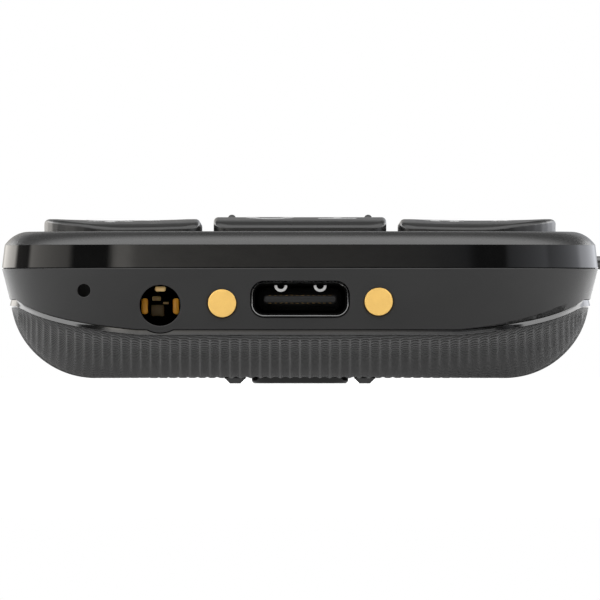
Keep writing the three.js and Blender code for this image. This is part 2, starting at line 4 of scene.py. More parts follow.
import bmesh
import bpy
import numpy as np
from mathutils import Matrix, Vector


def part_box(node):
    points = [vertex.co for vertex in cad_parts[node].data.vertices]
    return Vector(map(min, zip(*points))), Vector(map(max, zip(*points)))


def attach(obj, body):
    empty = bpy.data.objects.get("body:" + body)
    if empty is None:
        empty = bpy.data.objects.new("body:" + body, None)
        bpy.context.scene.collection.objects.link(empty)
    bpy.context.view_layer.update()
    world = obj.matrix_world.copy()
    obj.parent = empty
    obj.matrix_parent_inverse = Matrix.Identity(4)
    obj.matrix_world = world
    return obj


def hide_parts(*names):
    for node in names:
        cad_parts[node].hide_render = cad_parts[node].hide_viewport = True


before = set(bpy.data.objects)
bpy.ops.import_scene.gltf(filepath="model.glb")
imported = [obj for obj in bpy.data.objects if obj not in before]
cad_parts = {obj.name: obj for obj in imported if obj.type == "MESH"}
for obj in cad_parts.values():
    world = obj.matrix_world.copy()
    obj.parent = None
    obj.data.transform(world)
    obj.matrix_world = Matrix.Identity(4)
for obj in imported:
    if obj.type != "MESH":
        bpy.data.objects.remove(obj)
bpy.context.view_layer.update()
MM = 0.001  # shapes below are worked out in millimetres and stored in metres


def box_mm(node):
    """Lowest and highest corner of a CAD node, in millimetres."""
    return [Vector(corner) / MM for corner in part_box(node)]


# ------------------------------------------------------------------ driving dimensions
ring_low, ring_high = box_mm("gloss_ring")
front_low, front_high = box_mm("front_housing")
cover_high = box_mm("back_cover")[1]
HALF_WIDTH = (ring_high.x - ring_low.x) / 2
HALF_LENGTH = (ring_high.y - ring_low.y) / 2
FRONT_Z = front_high.z
SEAM_SIDE = cover_high.z  # the cover's top edge along the sides
END_DEPTH = 14.0  # how far each rounded end reaches along the body
END_POWER = 2.6  # superellipse power of the rounded ends
BACK_Z = 0.5  # the flat of the back
SEAM_END = BACK_Z + 4.4  # the cover's top edge across the two ends
SEAM_FLAT = 1.35  # the seam stays level until the end has curved back this far
SEAM_SLOPE = 0.345  # and then climbs by this share of how much further the end curves back
SEAM_GAP = 0.05
RING_Z = (ring_low.z, ring_high.z)
RING_LEAN = 0.25  # inward lean of the gloss ring from its foot to its top
HOUSING_TOP = ring_low.z - SEAM_GAP  # top edge of the middle housing
DRAFT = 0.254  # inward lean of the middle housing, per mm of height
BEVEL = 2.2  # width of the front housing's rounded edge
BEVEL_TURN = 0.85  # the rounded edge turns through this angle, in radians
RIM_END = 0.48  # height of the polished band along the cover's top, across the ends
RIM_SIDE = 0.68  # and along the sides
RIM_GROWS = 7.2  # seam height from which the band grows from the one to the other
RIM_LEAN = 0.15  # inward lean of the cover just under the rim
RIM_TURN = 0.11  # the rim's polished face leans out this much from its top edge to its foot
ROLL = 7.75  # how far in the cover's rounded edge reaches
ROLL_LEAN = 0.12  # further inward lean of the cover, for each mm it goes down
WALL = 1.2  # thickness of the cover
FIT_GAP = 0.3  # room between pieces that go into each other
SKIRT_LOW = 3.0  # underside of the middle housing
DECK_TOP = 4.3  # floor of the housing's rooms at its two ends
WEB_LOW = 7.3  # ceiling of the battery's room
WEB_HIGH = 8.4  # floor of the room under the front housing
PLATE_LOW = FRONT_Z - 1.65  # underside of the front plate
RIB_PITCH = 0.92  # from one rib of the cover to the next
RIB_DEPTH = 0.13
GROOVE_PITCH = 0.21  # of the fine grooves in the cover's finish


# ------------------------------------------------------------------ the body's outline
class Outline:
    """Points round the body, evenly spaced, from the middle of the right side, counter-clockwise."""

    def __init__(self, count):
        quarter = count // 4
        turn = np.linspace(0.0, math.pi / 2, 4001)
        across = np.cos(turn).clip(0) ** (2 / END_POWER)
        along = np.sin(turn) ** (2 / END_POWER)
        steps = np.hypot(np.diff(HALF_WIDTH * across), np.diff(END_DEPTH * along))
        arc = np.concatenate([[0.0], np.cumsum(steps)])
        straight = HALF_LENGTH - END_DEPTH
        self.quarter_length = straight + arc[-1]
        s = np.linspace(0.0, self.quarter_length, quarter + 1)
        on_arc = np.maximum(s - straight, 0.0)
        a = np.interp(on_arc, arc, across)
        b = np.interp(on_arc, arc, along)
        base = np.minimum(s, straight)
        back = slice(quarter - 1, 0, -1)
        self.across = np.concatenate([a, -a[back], -a, a[back]])
        self.along = np.concatenate([b, b[back], -b, -b[back]])
        self.base = np.concatenate([base, base[back], -base, -base[back]])
        self.count = len(self.across)
        # Distance along the outline from the middle of the nearer end, with the sign of x.
        from_end = self.quarter_length - np.concatenate([s, s[back], s, s[back]])
        self.arc = from_end * np.sign(self.across + 1e-12)
        self.seam = self.seam_height(self.along)
        side = np.clip((self.seam - RIM_GROWS) / (SEAM_SIDE - RIM_GROWS), 0, 1)
        self.rim = RIM_END + (RIM_SIDE - RIM_END) * side

    @staticmethod
    def seam_height(along):
        climb = np.maximum(END_DEPTH * (1 - np.abs(along)) - SEAM_FLAT, 0) * SEAM_SLOPE
        return np.minimum(SEAM_SIDE, SEAM_END + climb)

    def ring(self, inset, z):
        x = (HALF_WIDTH - inset) * self.across
        y = self.base + (END_DEPTH - inset) * self.along
        return np.stack([x, y, np.broadcast_to(z, x.shape)], axis=1)


def skin_inset(z):
    """How far the middle housing's outside lies inside the widest outline at a height."""
    return DRAFT * (HOUSING_TOP - z)


def skin_y(x, z, deeper=0.0):
    """Where the bottom end's skin is, at a place seen from the end."""
    inset = skin_inset(z) + deeper
    across = np.minimum(np.abs(x) / (HALF_WIDTH - inset), 1.0)
    along = (1 - across**END_POWER) ** (1 / END_POWER)
    return -(HALF_LENGTH - END_DEPTH) - (END_DEPTH - inset) * along


# ------------------------------------------------------------------ meshes
def mesh_object(name, points, faces):
    """An object from points in millimetres."""
    mesh = bpy.data.meshes.new(name)
    mesh.from_pydata((np.asarray(points) * MM).tolist(), [], faces)
    mesh.validate()
    piece = bpy.data.objects.new(name, mesh)
    bpy.context.scene.collection.objects.link(piece)
    return piece


def band_faces(starts, count):
    """Faces between neighbouring rings of equal count, told where each ring's points start."""
    faces = []
    for low, high in zip(starts, starts[1:]):
        for i in range(count):
            j = (i + 1) % count
            faces.append((low + i, low + j, high + j, high + i))
    return faces


def loft(name, rings):
    """A closed solid through rings of equal count, each counter-clockwise seen from above."""
    count = len(rings[0])
    starts = range(0, len(rings) * count, count)
    faces = band_faces(starts, count)
    faces.append(tuple(range(count - 1, -1, -1)))
    faces.append(tuple(range(starts[-1], starts[-1] + count)))
    return mesh_object(name, np.concatenate(rings), faces)


def rounded_outline(x0, x1, y0, y1, radii, steps=8):
    """A rectangle's outline with a radius for each corner: low left, low right, high right, high left."""
    low_left, low_right, high_right, high_left = radii if np.ndim(radii) else [radii] * 4
    corners = [
        (x1 - low_right, y0 + low_right, low_right, -90),
        (x1 - high_right, y1 - high_right, high_right, 0),
        (x0 + high_left, y1 - high_left, high_left, 90),
        (x0 + low_left, y0 + low_left, low_left, 180),
    ]
    points = []
    for cx, cy, r, start in corners:
        for i in range(steps + 1):
            turn = math.radians(start + 90 * i / steps)
            points.append((cx + r * math.cos(turn), cy + r * math.sin(turn)))
    return np.array(points)


def rectangle(x, y, half_x, half_y, radii, steps=8):
    """Gives the outline of a rounded rectangle about a place, once it is told how much to grow it."""
    def outline(grow=0.0):
        return rounded_outline(x - half_x - grow, x + half_x + grow, y - half_y - grow, y + half_y + grow,
                               np.add(radii, grow), steps)
    return outline


def circle_outline(x, y, r, steps=48):
    turn = np.arange(steps) * 2 * math.pi / steps
    return np.stack([x + r * np.cos(turn), y + r * np.sin(turn)], axis=1)


def circle(x, y, r, steps=48):
    """Gives the outline of a circle about a place, once it is told how much to grow it."""
    return lambda grow=0.0: circle_outline(x, y, r + grow, steps)


def quarter_turns(steps, first=0):
    """Angles up to a right angle in equal steps, for rounding an edge."""
    return [k / steps * math.pi / 2 for k in range(first, steps + 1)]


def smooth_step(value, start, width):
    """Rises smoothly from 0 to 1 over a width."""
    share = np.clip((value - start) / width, 0, 1)
    return share * share * (3 - 2 * share)


def at_height(outline, z):
    """An outline's points, all at one height."""
    return np.column_stack([outline, np.full(len(outline), z)])


def prism(name, outline, z0, z1):
    return loft(name, [at_height(outline, z0), at_height(outline, z1)])


def block(name, x0, x1, y0, y1, z0, z1):
    return prism(name, [(x0, y0), (x1, y0), (x1, y1), (x0, y1)], z0, z1)


def tube_along_y(name, sections):
    """A closed solid through outlines in X and Z; each section is (outline, y or array of y)."""
    rings = []
    for outline, y in sections:
        outline = np.asarray(outline)
        y = np.broadcast_to(y, len(outline))
        rings.append(np.column_stack([outline[:, 0], y, outline[:, 1]]))
    return loft(name, rings[::-1])


def prism_y(name, outline, y0, y1):
    return tube_along_y(name, [(outline, y0), (outline, y1)])


def along_y(name, outline_of, sections):
    """A closed solid from (inset, y) sections of an outline in X and Z given by outline_of(grow)."""
    return tube_along_y(name, [(outline_of(-inset), y) for inset, y in sections])


def layered(name, outline_of, sections):
    """A closed solid from (inset, z) sections of an outline in X and Y given by outline_of(grow)."""
    return loft(name, [at_height(outline_of(-inset), z) for inset, z in sections])


def end_hole(name, outline_of, mouth, depth_y, sink=None):
    """A hole into the bottom end, its mouth flared by this much and, unless told otherwise, as deep."""
    sections = []
    sink = sink or mouth
    for grow, deeper in ((mouth, -1.5), (mouth, 0.0), (mouth * 0.3, sink * 0.5), (0.0, sink)):
        outline = outline_of(grow)
        sections.append((outline, skin_y(outline[:, 0], outline[:, 1], deeper)))
    sections.append((outline_of(0.0), depth_y))
    return tube_along_y(name, sections)


def boolean(piece, others, operation="DIFFERENCE"):
    """Cuts other solids out of a piece, or joins them to it, and removes them."""
    for other in others:
        step = piece.modifiers.new("boolean", "BOOLEAN")
        step.operation = operation
        step.solver = "MANIFOLD"
        step.object = other
    apply_modifiers(piece)
    for other in others:
        bpy.data.objects.remove(other)
    return piece


def apply_modifiers(piece):
    depsgraph = bpy.context.evaluated_depsgraph_get()
    mesh = bpy.data.meshes.new_from_object(piece.evaluated_get(depsgraph))
    piece.modifiers.clear()
    old = piece.data
    piece.data = mesh
    bpy.data.meshes.remove(old)


def shade(piece, degrees=32):
    """Smooth shading, with edges kept sharp where faces meet at more than this angle."""
    mesh = piece.data
    mesh.shade_smooth()
    mesh.set_sharp_from_angle(angle=math.radians(degrees))


def add_bevel(piece, width):
    """Adds a step that rounds a piece's hard edges."""
    step = piece.modifiers.new("edge", "BEVEL")
    step.width = width * MM
    step.segments = 2
    step.limit_method = "ANGLE"
    step.angle_limit = math.radians(40)


def bevel_edges(piece, width):
    add_bevel(piece, width)
    apply_modifiers(piece)


def give_finishes(piece, *materials):
    """Gives a piece its finishes in order, without the empty slots that cutters leave."""
    piece.data.materials.clear()
    for material in materials:
        piece.data.materials.append(material)


def settle(piece, body, slot, material, *nodes, degrees=32):
    """Finishes a piece: its shading, its finish, the body it rides on and the CAD nodes it stands for."""
    shade(piece, degrees)
    slots = piece.data.materials
    if not slots:
        slots.append(material)
    for index, held in enumerate(slots):
        slots[index] = held or material  # faces left by a cutter take the piece's own finish
    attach(piece, body)
    if nodes:
        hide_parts(*nodes)
    return piece


# ------------------------------------------------------------------ materials
def srgb(level, tint=(1.0, 1.0, 1.0)):
    """Linear colour of a grey given as an sRGB level from 0 to 255, with a tint."""
    c = level / 255
    linear = c / 12.92 if c <= 0.04045 else ((c + 0.055) / 1.055) ** 2.4
    return [linear * t for t in tint] + [1.0]


def grey(value):
    return [value] * 3 + [1.0]


class Graph:
    """Builds shader nodes. What is fed to a socket is a number, a vector or another node's output."""

    def __init__(self, tree):
        self.nodes = tree.nodes
        self.links = tree.links

    def feed(self, node, values):
        for socket, value in values.items():
            if isinstance(value, bpy.types.NodeSocket):
                self.links.new(value, node.inputs[socket])
            else:
                node.inputs[socket].default_value = value

    def operate(self, kind, operation, values):
        node = self.nodes.new(kind)
        node.operation = operation
        self.feed(node, values)
        return node.outputs

    def math(self, operation, *values):
        return self.operate("ShaderNodeMath", operation, dict(enumerate(values)))["Value"]

    def fade(self, value, start, end, low, high, kind="LINEAR"):
        """Goes from low to high as a value goes from start to end, and stays there beyond them."""
        node = self.nodes.new("ShaderNodeMapRange")
        node.interpolation_type = kind
        self.feed(node, {"Value": value, "From Min": start, "From Max": end, "To Min": low, "To Max": high})
        return node.outputs["Result"]

    def axes(self, vector):
        node = self.nodes.new("ShaderNodeSeparateXYZ")
        self.feed(node, {"Vector": vector})
        return node.outputs

    def ramp(self, factor, stops):
        """Colours by a factor, from stops of (factor, colour)."""
        node = self.nodes.new("ShaderNodeValToRGB")
        elements = node.color_ramp.elements
        while len(elements) < len(stops):
            elements.new(0.5)
        for element, (position, colour) in zip(elements, stops):
            element.position = position
            element.color = colour
        self.feed(node, {"Fac": factor})
        return node.outputs["Color"]


class Finish(Graph):
    """A procedural material: a Principled shader with its grain, colour and roughness from noise."""

    def __init__(self, name, roughness, metallic=0.0, ior=1.5, coat=0.0):
        self.material = bpy.data.materials.new(name)
        self.material.use_nodes = True
        super().__init__(self.material.node_tree)
        self.shader = self.nodes["Principled BSDF"]
        self.feed(self.shader, {"Roughness": roughness, "Metallic": metallic, "IOR": ior,
                                "Coat Weight": coat, "Coat Roughness": 0.05})
        self.place = self.nodes.new("ShaderNodeTexCoord").outputs["Object"]

    def noise(self, feature_mm, detail=2.0, stretch=(1.0, 1.0, 1.0)):
        node = self.nodes.new("ShaderNodeTexNoise")
        mapping = self.nodes.new("ShaderNodeMapping")
        self.feed(mapping, {"Vector": self.place, "Scale": stretch})
        self.feed(node, {"Vector": mapping.outputs["Vector"], "Scale": 1 / (feature_mm * MM),
                         "Detail": detail})
        return node.outputs["Fac"]

    def paint(self, factor, stops, target="Base Color"):
        self.feed(self.shader, {target: self.ramp(factor, stops)})

    def bump(self, height, depth_mm, under=None):
        """Relief from a height, on top of another bump's normal if one is given."""
        node = self.nodes.new("ShaderNodeBump")
        self.feed(node, {"Strength": 1.0, "Distance": depth_mm * MM, "Height": height})
        if under is not None:
            self.feed(node, {"Normal": under})
        self.feed(self.shader, {"Normal": node.outputs["Normal"]})
        return node.outputs["Normal"]


def plastic(name, dark, light, roughness, grain_mm, grain_depth, spread=0.06, ior=1.5, coat=0.0):
    """Moulded plastic: a fine spark-eroded grain, and slow changes of tone and gloss."""
    finish = Finish(name, roughness, ior=ior, coat=coat)
    finish.paint(finish.noise(5.0, 3.0), [(0.3, dark), (0.7, light)])
    gloss = [(0.3, grey(roughness - spread)), (0.7, grey(roughness + spread))]
    finish.paint(finish.noise(1.7, 4.0), gloss, "Roughness")
    finish.bump(finish.noise(grain_mm, 3.0), grain_depth)
    return finish.material


def metal(name, dark, light, roughness, brushed=(1.0, 1.0, 1.0)):
    """Plated or drawn metal with fine marks along one direction."""
    finish = Finish(name, roughness, metallic=1.0)
    finish.paint(finish.noise(0.8, 3.0), [(0.3, dark), (0.7, light)])
    marks = finish.noise(0.12, 4.0, brushed)
    finish.paint(marks, [(0.35, grey(roughness - 0.05)), (0.65, grey(roughness + 0.08))], "Roughness")
    finish.bump(marks, 0.004)
    return finish.material


def ribbed_plastic():
    """The back cover's texture: fine sloping grooves, with painted shade in their troughs, and a painted
    highlight on the moulded ribs' crests.
    """
    finish = Finish("ribbed_plastic", 0.42, ior=1.4)
    mirrored = finish.operate("ShaderNodeVectorMath", "ABSOLUTE", {0: finish.place})["Vector"]
    slope = {0: mirrored, 1: (0.0, 0.86, 0.5)}  # across the grooves, which lean away from the end
    across = finish.operate("ShaderNodeVectorMath", "DOT_PRODUCT", slope)["Value"]
    wave = finish.math("SINE", finish.math("MULTIPLY", across, 2 * math.pi / (GROOVE_PITCH * MM)))
    attribute = finish.nodes.new("ShaderNodeAttribute")
    attribute.attribute_name = "crest"
    crest = attribute.outputs["Fac"]
    height = finish.math("MULTIPLY", wave, finish.fade(crest, 0.45, 0.9, 1.0, 0.1))
    # The colour is painted light: lighter towards the ribs' crests as a painted highlight, darker in the
    # grooves' troughs as painted shade.
    tone = finish.math("MULTIPLY_ADD", height, 0.22, finish.math("POWER", crest, 2.5))
    finish.paint(tone, [(0.0, srgb(26)), (0.22, srgb(43)), (1.0, srgb(74))])
    grooves = finish.bump(height, 0.05)
    finish.bump(finish.noise(0.09, 2.0), 0.004, under=grooves)
    return finish.material


def glass_black(name):
    """Dark cover glass, as a display that is off looks."""
    finish = Finish(name, 0.04, ior=1.52, coat=0.4)
    finish.paint(finish.noise(6.0), [(0.3, srgb(6)), (0.7, srgb(9))])
    finish.bump(finish.noise(4.0, 1.0), 0.002)
    return finish.material


CELL_TINT = (1.0, 1.02, 1.08)
FLASH_TINT = (1.0, 0.97, 0.85)
MATT = plastic("matt_plastic", srgb(25), srgb(28), 0.33, 0.07, 0.006, ior=1.30, spread=0.02)
FRONT_MATT = plastic("front_matt_plastic", srgb(19), srgb(22), 0.27, 0.07, 0.006, ior=1.42, spread=0.015)
GLOSS = plastic("gloss_plastic", srgb(6), srgb(8), 0.05, 1.5, 0.002, spread=0.02, ior=1.36)
RIM_GLOSS = plastic("rim_gloss_plastic", srgb(8), srgb(11), 0.12, 0.8, 0.002, spread=0.03, ior=1.6)
KEY_SATIN = plastic("key_plastic", srgb(15), srgb(18), 0.30, 0.06, 0.004, ior=1.34, spread=0.03)
RIBBED = ribbed_plastic()
DARK_GLASS = glass_black("dark_glass")
BLACK = plastic("black_plastic", srgb(6), srgb(9), 0.45, 0.1, 0.004)
RUBBER = plastic("soft_rubber", srgb(52), srgb(58), 0.75, 0.15, 0.01)
BOARD = plastic("board_laminate", [0.010, 0.060, 0.022, 1], [0.014, 0.080, 0.030, 1], 0.4, 0.3, 0.008)
CELL = plastic("cell_wrap", srgb(62, CELL_TINT), srgb(70, CELL_TINT), 0.4, 0.5, 0.006)
LABEL = plastic("cell_label", srgb(196), srgb(206), 0.5, 0.2, 0.003)
GOLD = metal("gold_plate", [0.86, 0.57, 0.19, 1], [0.92, 0.63, 0.23, 1], 0.26)
AMBER = plastic("jack_spring_gold", [0.80, 0.34, 0.02, 1], [0.95, 0.42, 0.03, 1], 0.5, 0.1, 0.002)
STEEL = metal("steel", srgb(170), srgb(186), 0.26, brushed=(1.0, 0.15, 1.0))
LIP_STEEL = metal("polished_steel", srgb(118), srgb(130), 0.3)
LATCH_STEEL = metal("latch_steel", srgb(150), srgb(160), 0.4)
CONTACT_GOLD = metal("contact_gold", [0.56, 0.36, 0.11, 1], [0.59, 0.38, 0.115, 1], 0.42)
DIM_GOLD = metal("dim_gold", [0.50, 0.33, 0.12, 1], [0.56, 0.37, 0.14, 1], 0.35)
TONGUE = plastic("tongue_plastic", srgb(26), srgb(31), 0.4, 0.1, 0.003, ior=1.2)
OLIVE = plastic("plug_stop_plastic", [0.26, 0.18, 0.07, 1], [0.32, 0.22, 0.09, 1], 0.5, 0.1, 0.003)
# Near black that barely reflects: painted shade for the insides of the nail slot, the USB shell and the
# jack's bore, and the wall at the bore's end.
PAINTED_SHADE_BLACK = plastic("painted_shade_black", srgb(3), srgb(5), 0.6, 0.1, 0.003, ior=1.02)
SPRING_GOLD = plastic("spring_gold", [1.0, 0.66, 0.26, 1], [1.0, 0.72, 0.31, 1], 0.4, 0.1, 0.002)
FLASH = plastic("flash_lens_plastic", srgb(226, FLASH_TINT), srgb(232, FLASH_TINT), 0.2, 0.4, 0.01)
PRINT = plastic("white_print", srgb(112), srgb(119), 0.5, 0.1, 0.002)
GREEN = plastic("green_print", [0.02, 0.36, 0.06, 1], [0.03, 0.42, 0.08, 1], 0.5, 0.1, 0.002)
RED = plastic("red_print", [0.50, 0.02, 0.02, 1], [0.56, 0.03, 0.03, 1], 0.5, 0.1, 0.002)

# ------------------------------------------------------------------ camera, light and floor
# The camera stands level with the back and far away, as a long lens does, and looks at the bottom end.
LENS = 1600.0
SENSOR = 36.0
VIEW_WIDTH = 55.05  # millimetres across the picture, at the bottom end
VIEW_CENTRE_Z = 7.67
CAMERA_Z = 0.5
distance = VIEW_WIDTH * LENS / SENSOR
camera = bpy.data.objects.new("camera", bpy.data.cameras.new("camera"))
bpy.context.scene.collection.objects.link(camera)
camera.data.lens = LENS
camera.data.sensor_width = SENSOR
camera.data.clip_start = 0.1
camera.data.clip_end = 40.0
camera.location = Vector((0, -HALF_LENGTH - distance, CAMERA_Z)) * MM
aim = Vector((0, -HALF_LENGTH, VIEW_CENTRE_Z)) * MM
camera.rotation_euler = (aim - camera.location).to_track_quat("-Z", "Y").to_euler()
bpy.context.scene.camera = camera
bpy.context.scene.view_settings.view_transform = "Standard"


STRIP = 6.5  # radiance of the strips at the sides
ABOVE = 4.3  # radiance of the light above, at its brightest
BRIGHTEST = 5.0  # radiance that stands for 1 in the panels' ramp
WARM, COOL = (1.04, 1.0, 0.94), (0.97, 0.99, 1.05)
# The panels: bearing from the bottom end in degrees (left negative), radiance there, and tint.
PANELS = [
    (-180, 0.3, WARM), (-168, 0.9, WARM), (-160, 2.0, WARM), (-126, 3.6, WARM), (-119, 0.20, WARM),
    (-99, 0.15, WARM), (-94, 2.9, WARM), (-58, 1.5, WARM), (-54, 0.03, WARM), (-36, 0.03, WARM),
    (-33, 3.1, WARM), (-29, 3.0, WARM), (-26, 1.7, WARM), (0, 0.95, WARM), (27, 0.35, COOL),
    (30, 0.02, COOL), (42, 0.02, COOL), (44, 0.60, COOL), (68, 1.6, COOL), (72, 1.1, COOL),
    (108, 2.3, COOL), (116, 3.6, COOL), (140, 2.6, COOL), (160, 1.8, COOL), (168, 0.9, COOL),
    (180, 0.3, COOL),
]


def studio():
    """Plain white for the camera. For reflections and light: panels, side strips and a light above."""
    world = bpy.data.worlds.new("studio")
    bpy.context.scene.world = world
    world.use_nodes = True
    graph = Graph(world.node_tree)
    nodes, links = graph.nodes, graph.links
    nodes.clear()
    split = graph.axes(nodes.new("ShaderNodeTexCoord").outputs["Generated"])

    def fade(value, start, end, low, high):
        return graph.fade(value, start, end, low, high, "SMOOTHSTEP")

    bearing = graph.math("ARCTAN2", split["X"], graph.math("MULTIPLY", split["Y"], -1.0))
    fraction = graph.math("ADD", graph.math("DIVIDE", bearing, 2 * math.pi), 0.5)
    stops = []
    for degrees, radiance, tint in PANELS:
        stops.append((degrees / 360 + 0.5, [radiance / BRIGHTEST * t for t in tint] + [1.0]))
    ramp = graph.ramp(fraction, stops)
    panels = graph.operate("ShaderNodeVectorMath", "SCALE", {0: ramp, "Scale": BRIGHTEST})["Vector"]

    # Over the panels, a narrow strip that is bright at both sides, and over that a light above, which
    # is bright on the camera's side and fades towards the far end.
    away = graph.math("ABSOLUTE", bearing)
    strip = graph.math("MULTIPLY", fade(away, math.radians(48), math.radians(84), 0.10, STRIP),
                       fade(away, math.radians(140), math.radians(165), 1.0, 0.1))
    above = fade(split["Y"], 0.05, 0.50, ABOVE, 0.25)

    def over(lower, upper, start, end):
        blend = nodes.new("ShaderNodeMix")
        blend.data_type = "RGBA"
        links.new(fade(split["Z"], start, end, 0.0, 1.0), blend.inputs["Factor"])
        links.new(lower, blend.inputs["A"])
        links.new(upper, blend.inputs["B"])
        return blend.outputs["Result"]

    sky = over(over(panels, strip, 0.235, 0.27), above, 0.37, 0.43)

    light = nodes.new("ShaderNodeBackground")
    links.new(sky, light.inputs["Color"])
    backdrop = nodes.new("ShaderNodeBackground")
    backdrop.inputs["Color"].default_value = (1, 1, 1, 1)
    mix = nodes.new("ShaderNodeMixShader")
    links.new(nodes.new("ShaderNodeLightPath").outputs["Is Camera Ray"], mix.inputs["Fac"])
    links.new(light.outputs[0], mix.inputs[1])
    links.new(backdrop.outputs[0], mix.inputs[2])
    links.new(mix.outputs[0], nodes.new("ShaderNodeOutputWorld").inputs["Surface"])


def pale_floor():
    """A floor that glows: dimmer round the phone, with a brighter pool at each side of it."""
    finish = Finish("pale_floor", 0.9)
    finish.paint(finish.noise(400.0), [(0.3, srgb(150)), (0.7, srgb(156))])
    distance_out = finish.operate("ShaderNodeVectorMath", "LENGTH", {0: finish.place})["Value"]
    glow = finish.fade(distance_out, 110 * MM, 300 * MM, 0.45, 0.95)
    aside = finish.math("ABSOLUTE", finish.axes(finish.place)["X"])
    near = finish.fade(aside, 26 * MM, 46 * MM, 0.45, 1.5)
    far = finish.fade(aside, 55 * MM, 85 * MM, 1.0, 0.3)
    emission = finish.math("MAXIMUM", glow, finish.math("MULTIPLY", near, far))
    finish.feed(finish.shader, {"Emission Color": (1, 1, 1, 1), "Emission Strength": emission,
                                "Specular IOR Level": 0.0})
    half = 12000.0
    floor = mesh_object("floor", [(-half, -half, 0), (half, -half, 0), (half, half, 0), (-half, half, 0)],
                        [(0, 1, 2, 3)])
    floor.location.z = -0.02 * MM
    floor.data.materials.append(finish.material)


studio()
pale_floor()

# ------------------------------------------------------------------ housings
SHELL_POINTS = 720
shell = Outline(SHELL_POINTS)


def slab(name, inset, z0, z1):
    return loft(name, [shell.ring(inset, z0), shell.ring(inset, z1)])


volume_low, volume_high = box_mm("volume_rocker")


def volume_cut():
    reach_in, reach_out = 3.7, 2  # how far the room for the volume rocker goes in and past the side
    return block("cut", HALF_WIDTH - reach_in, HALF_WIDTH + reach_out,
                 volume_low.y - FIT_GAP, volume_high.y + FIT_GAP,
                 volume_low.z - FIT_GAP, volume_high.z + FIT_GAP)


def gloss_ring():
    edge = 0.03
    low, high = RING_Z
    rings = [shell.ring(edge, low)]
    for k in range(9):
        part = k / 8
        rings.append(shell.ring(RING_LEAN * part, low + edge + (high - low - edge) * part))
    piece = loft("gloss_ring_fine", rings)
    boolean(piece, [slab("cut", 1.3, low - 1, high + 1), volume_cut()])
    settle(piece, "housing", "gloss_plastic", GLOSS, "gloss_ring", degrees=50)


KEY_GAP = 0.3  # round each key's cap
window_low, window_high = box_mm("display_window")
ear_low, ear_high = box_mm("earpiece_mesh")
KEY_RADIUS = 1.6
LOW_ROW_RADIUS = 7.0  # the lowest row's outer corners follow the body's end
FLANGE = 0.45  # hidden flange round each key


def key_frame(node):
    """Middle, half sizes and corner radii of a key's cap, from its CAD box, which holds its flange."""
    low, high = box_mm(node)
    middle = (low + high) / 2
    radii = [KEY_RADIUS] * 4
    if node == "key_star":
        radii[0] = LOW_ROW_RADIUS
    if node == "key_hash":
        radii[1] = LOW_ROW_RADIUS
    if node == "arrow_rocker":
        radii = [3.0] * 4
    if node == "ok_key":
        radii = [2.0] * 4
    return middle, (high.x - low.x) / 2 - FLANGE, (high.y - low.y) / 2 - FLANGE, radii


FIGURES = ["star", "0", "hash", "7", "8", "9", "4", "5", "6", "1", "2", "3"]
PLATE_KEYS = [f"key_{f}" for f in FIGURES] + ["call_key", "end_key", "menu_key", "back_key", "arrow_rocker"]


def flared_opening(x, y, half_w, half_l, radii, flare=0.14):
    """A cutter through the front plate, wider at its mouth."""
    shape = rectangle(x, y, half_w, half_l, radii)
    steps = ((0, PLATE_LOW - 1), (0, FRONT_Z - flare), (flare, FRONT_Z), (flare, FRONT_Z + 1))
    return loft("cut", [at_height(shape(grow), z) for grow, z in steps])


SCREWS = [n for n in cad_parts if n.startswith("housing_screw_")]
VIEW_HALF = 19.2  # half the width of the display's opening
VIEW_INSET = 1.8  # how far its ends lie inside the cover glass


def screw_places():
    boxes = [box_mm(name) for name in SCREWS]
    return [((low.x + high.x) / 2, (low.y + high.y) / 2) for low, high in boxes]


def front_housing():
    skirt, skirt_low = 1.6, RING_Z[0] + 0.2
    low = RING_Z[1] + 0.005
    rings = [shell.ring(skirt, skirt_low), shell.ring(skirt, low), shell.ring(RING_LEAN + 0.01, low)]
    steps = 18
    for k in range(steps, -1, -1):
        turn = k / steps * BEVEL_TURN
        inset = RING_LEAN + BEVEL * (1 - math.sin(turn) / math.sin(BEVEL_TURN))
        fall = (FRONT_Z - low - 0.02) * (1 - math.cos(turn)) / (1 - math.cos(BEVEL_TURN))
        rings.append(shell.ring(inset, FRONT_Z - fall))
    piece = loft("front_housing_fine", rings)
    boolean(piece, [slab("cut", skirt + 1.1, skirt_low - 1, PLATE_LOW)])
    cuts = [volume_cut()]
    bosses = []
    for x, y in screw_places():
        bosses.append(prism("boss", circle_outline(x, y, 1.7, 40), front_low.z, PLATE_LOW + 0.2))
        cuts.append(prism("cut", circle_outline(x, y, 1.1, 40), front_low.z - 1, PLATE_LOW))
    boolean(piece, bosses, "UNION")
    gap = FIT_GAP
    window = rounded_outline(window_low.x - gap, window_high.x + gap,
                             window_low.y - gap, window_high.y + gap, 3.0)
    cuts.append(prism("cut", window, FRONT_Z - 1.1, FRONT_Z + 1))
    view = rounded_outline(-VIEW_HALF, VIEW_HALF, window_low.y + VIEW_INSET, window_high.y - VIEW_INSET, 1.0)
    cuts.append(prism("cut", view, PLATE_LOW - 1, FRONT_Z))
    ear_y = (ear_low.y + ear_high.y) / 2
    cuts.append(flared_opening(0, ear_y, 5.0, 0.7, [0.69] * 4))
    for node in PLATE_KEYS:
        middle, half_w, half_l, radii = key_frame(node)
        grown = [r + KEY_GAP for r in radii]
        cuts.append(flared_opening(middle.x, middle.y, half_w + KEY_GAP, half_l + KEY_GAP, grown))
    boolean(piece, cuts)
    settle(piece, "housing", "matt_plastic", FRONT_MATT, "front_housing")


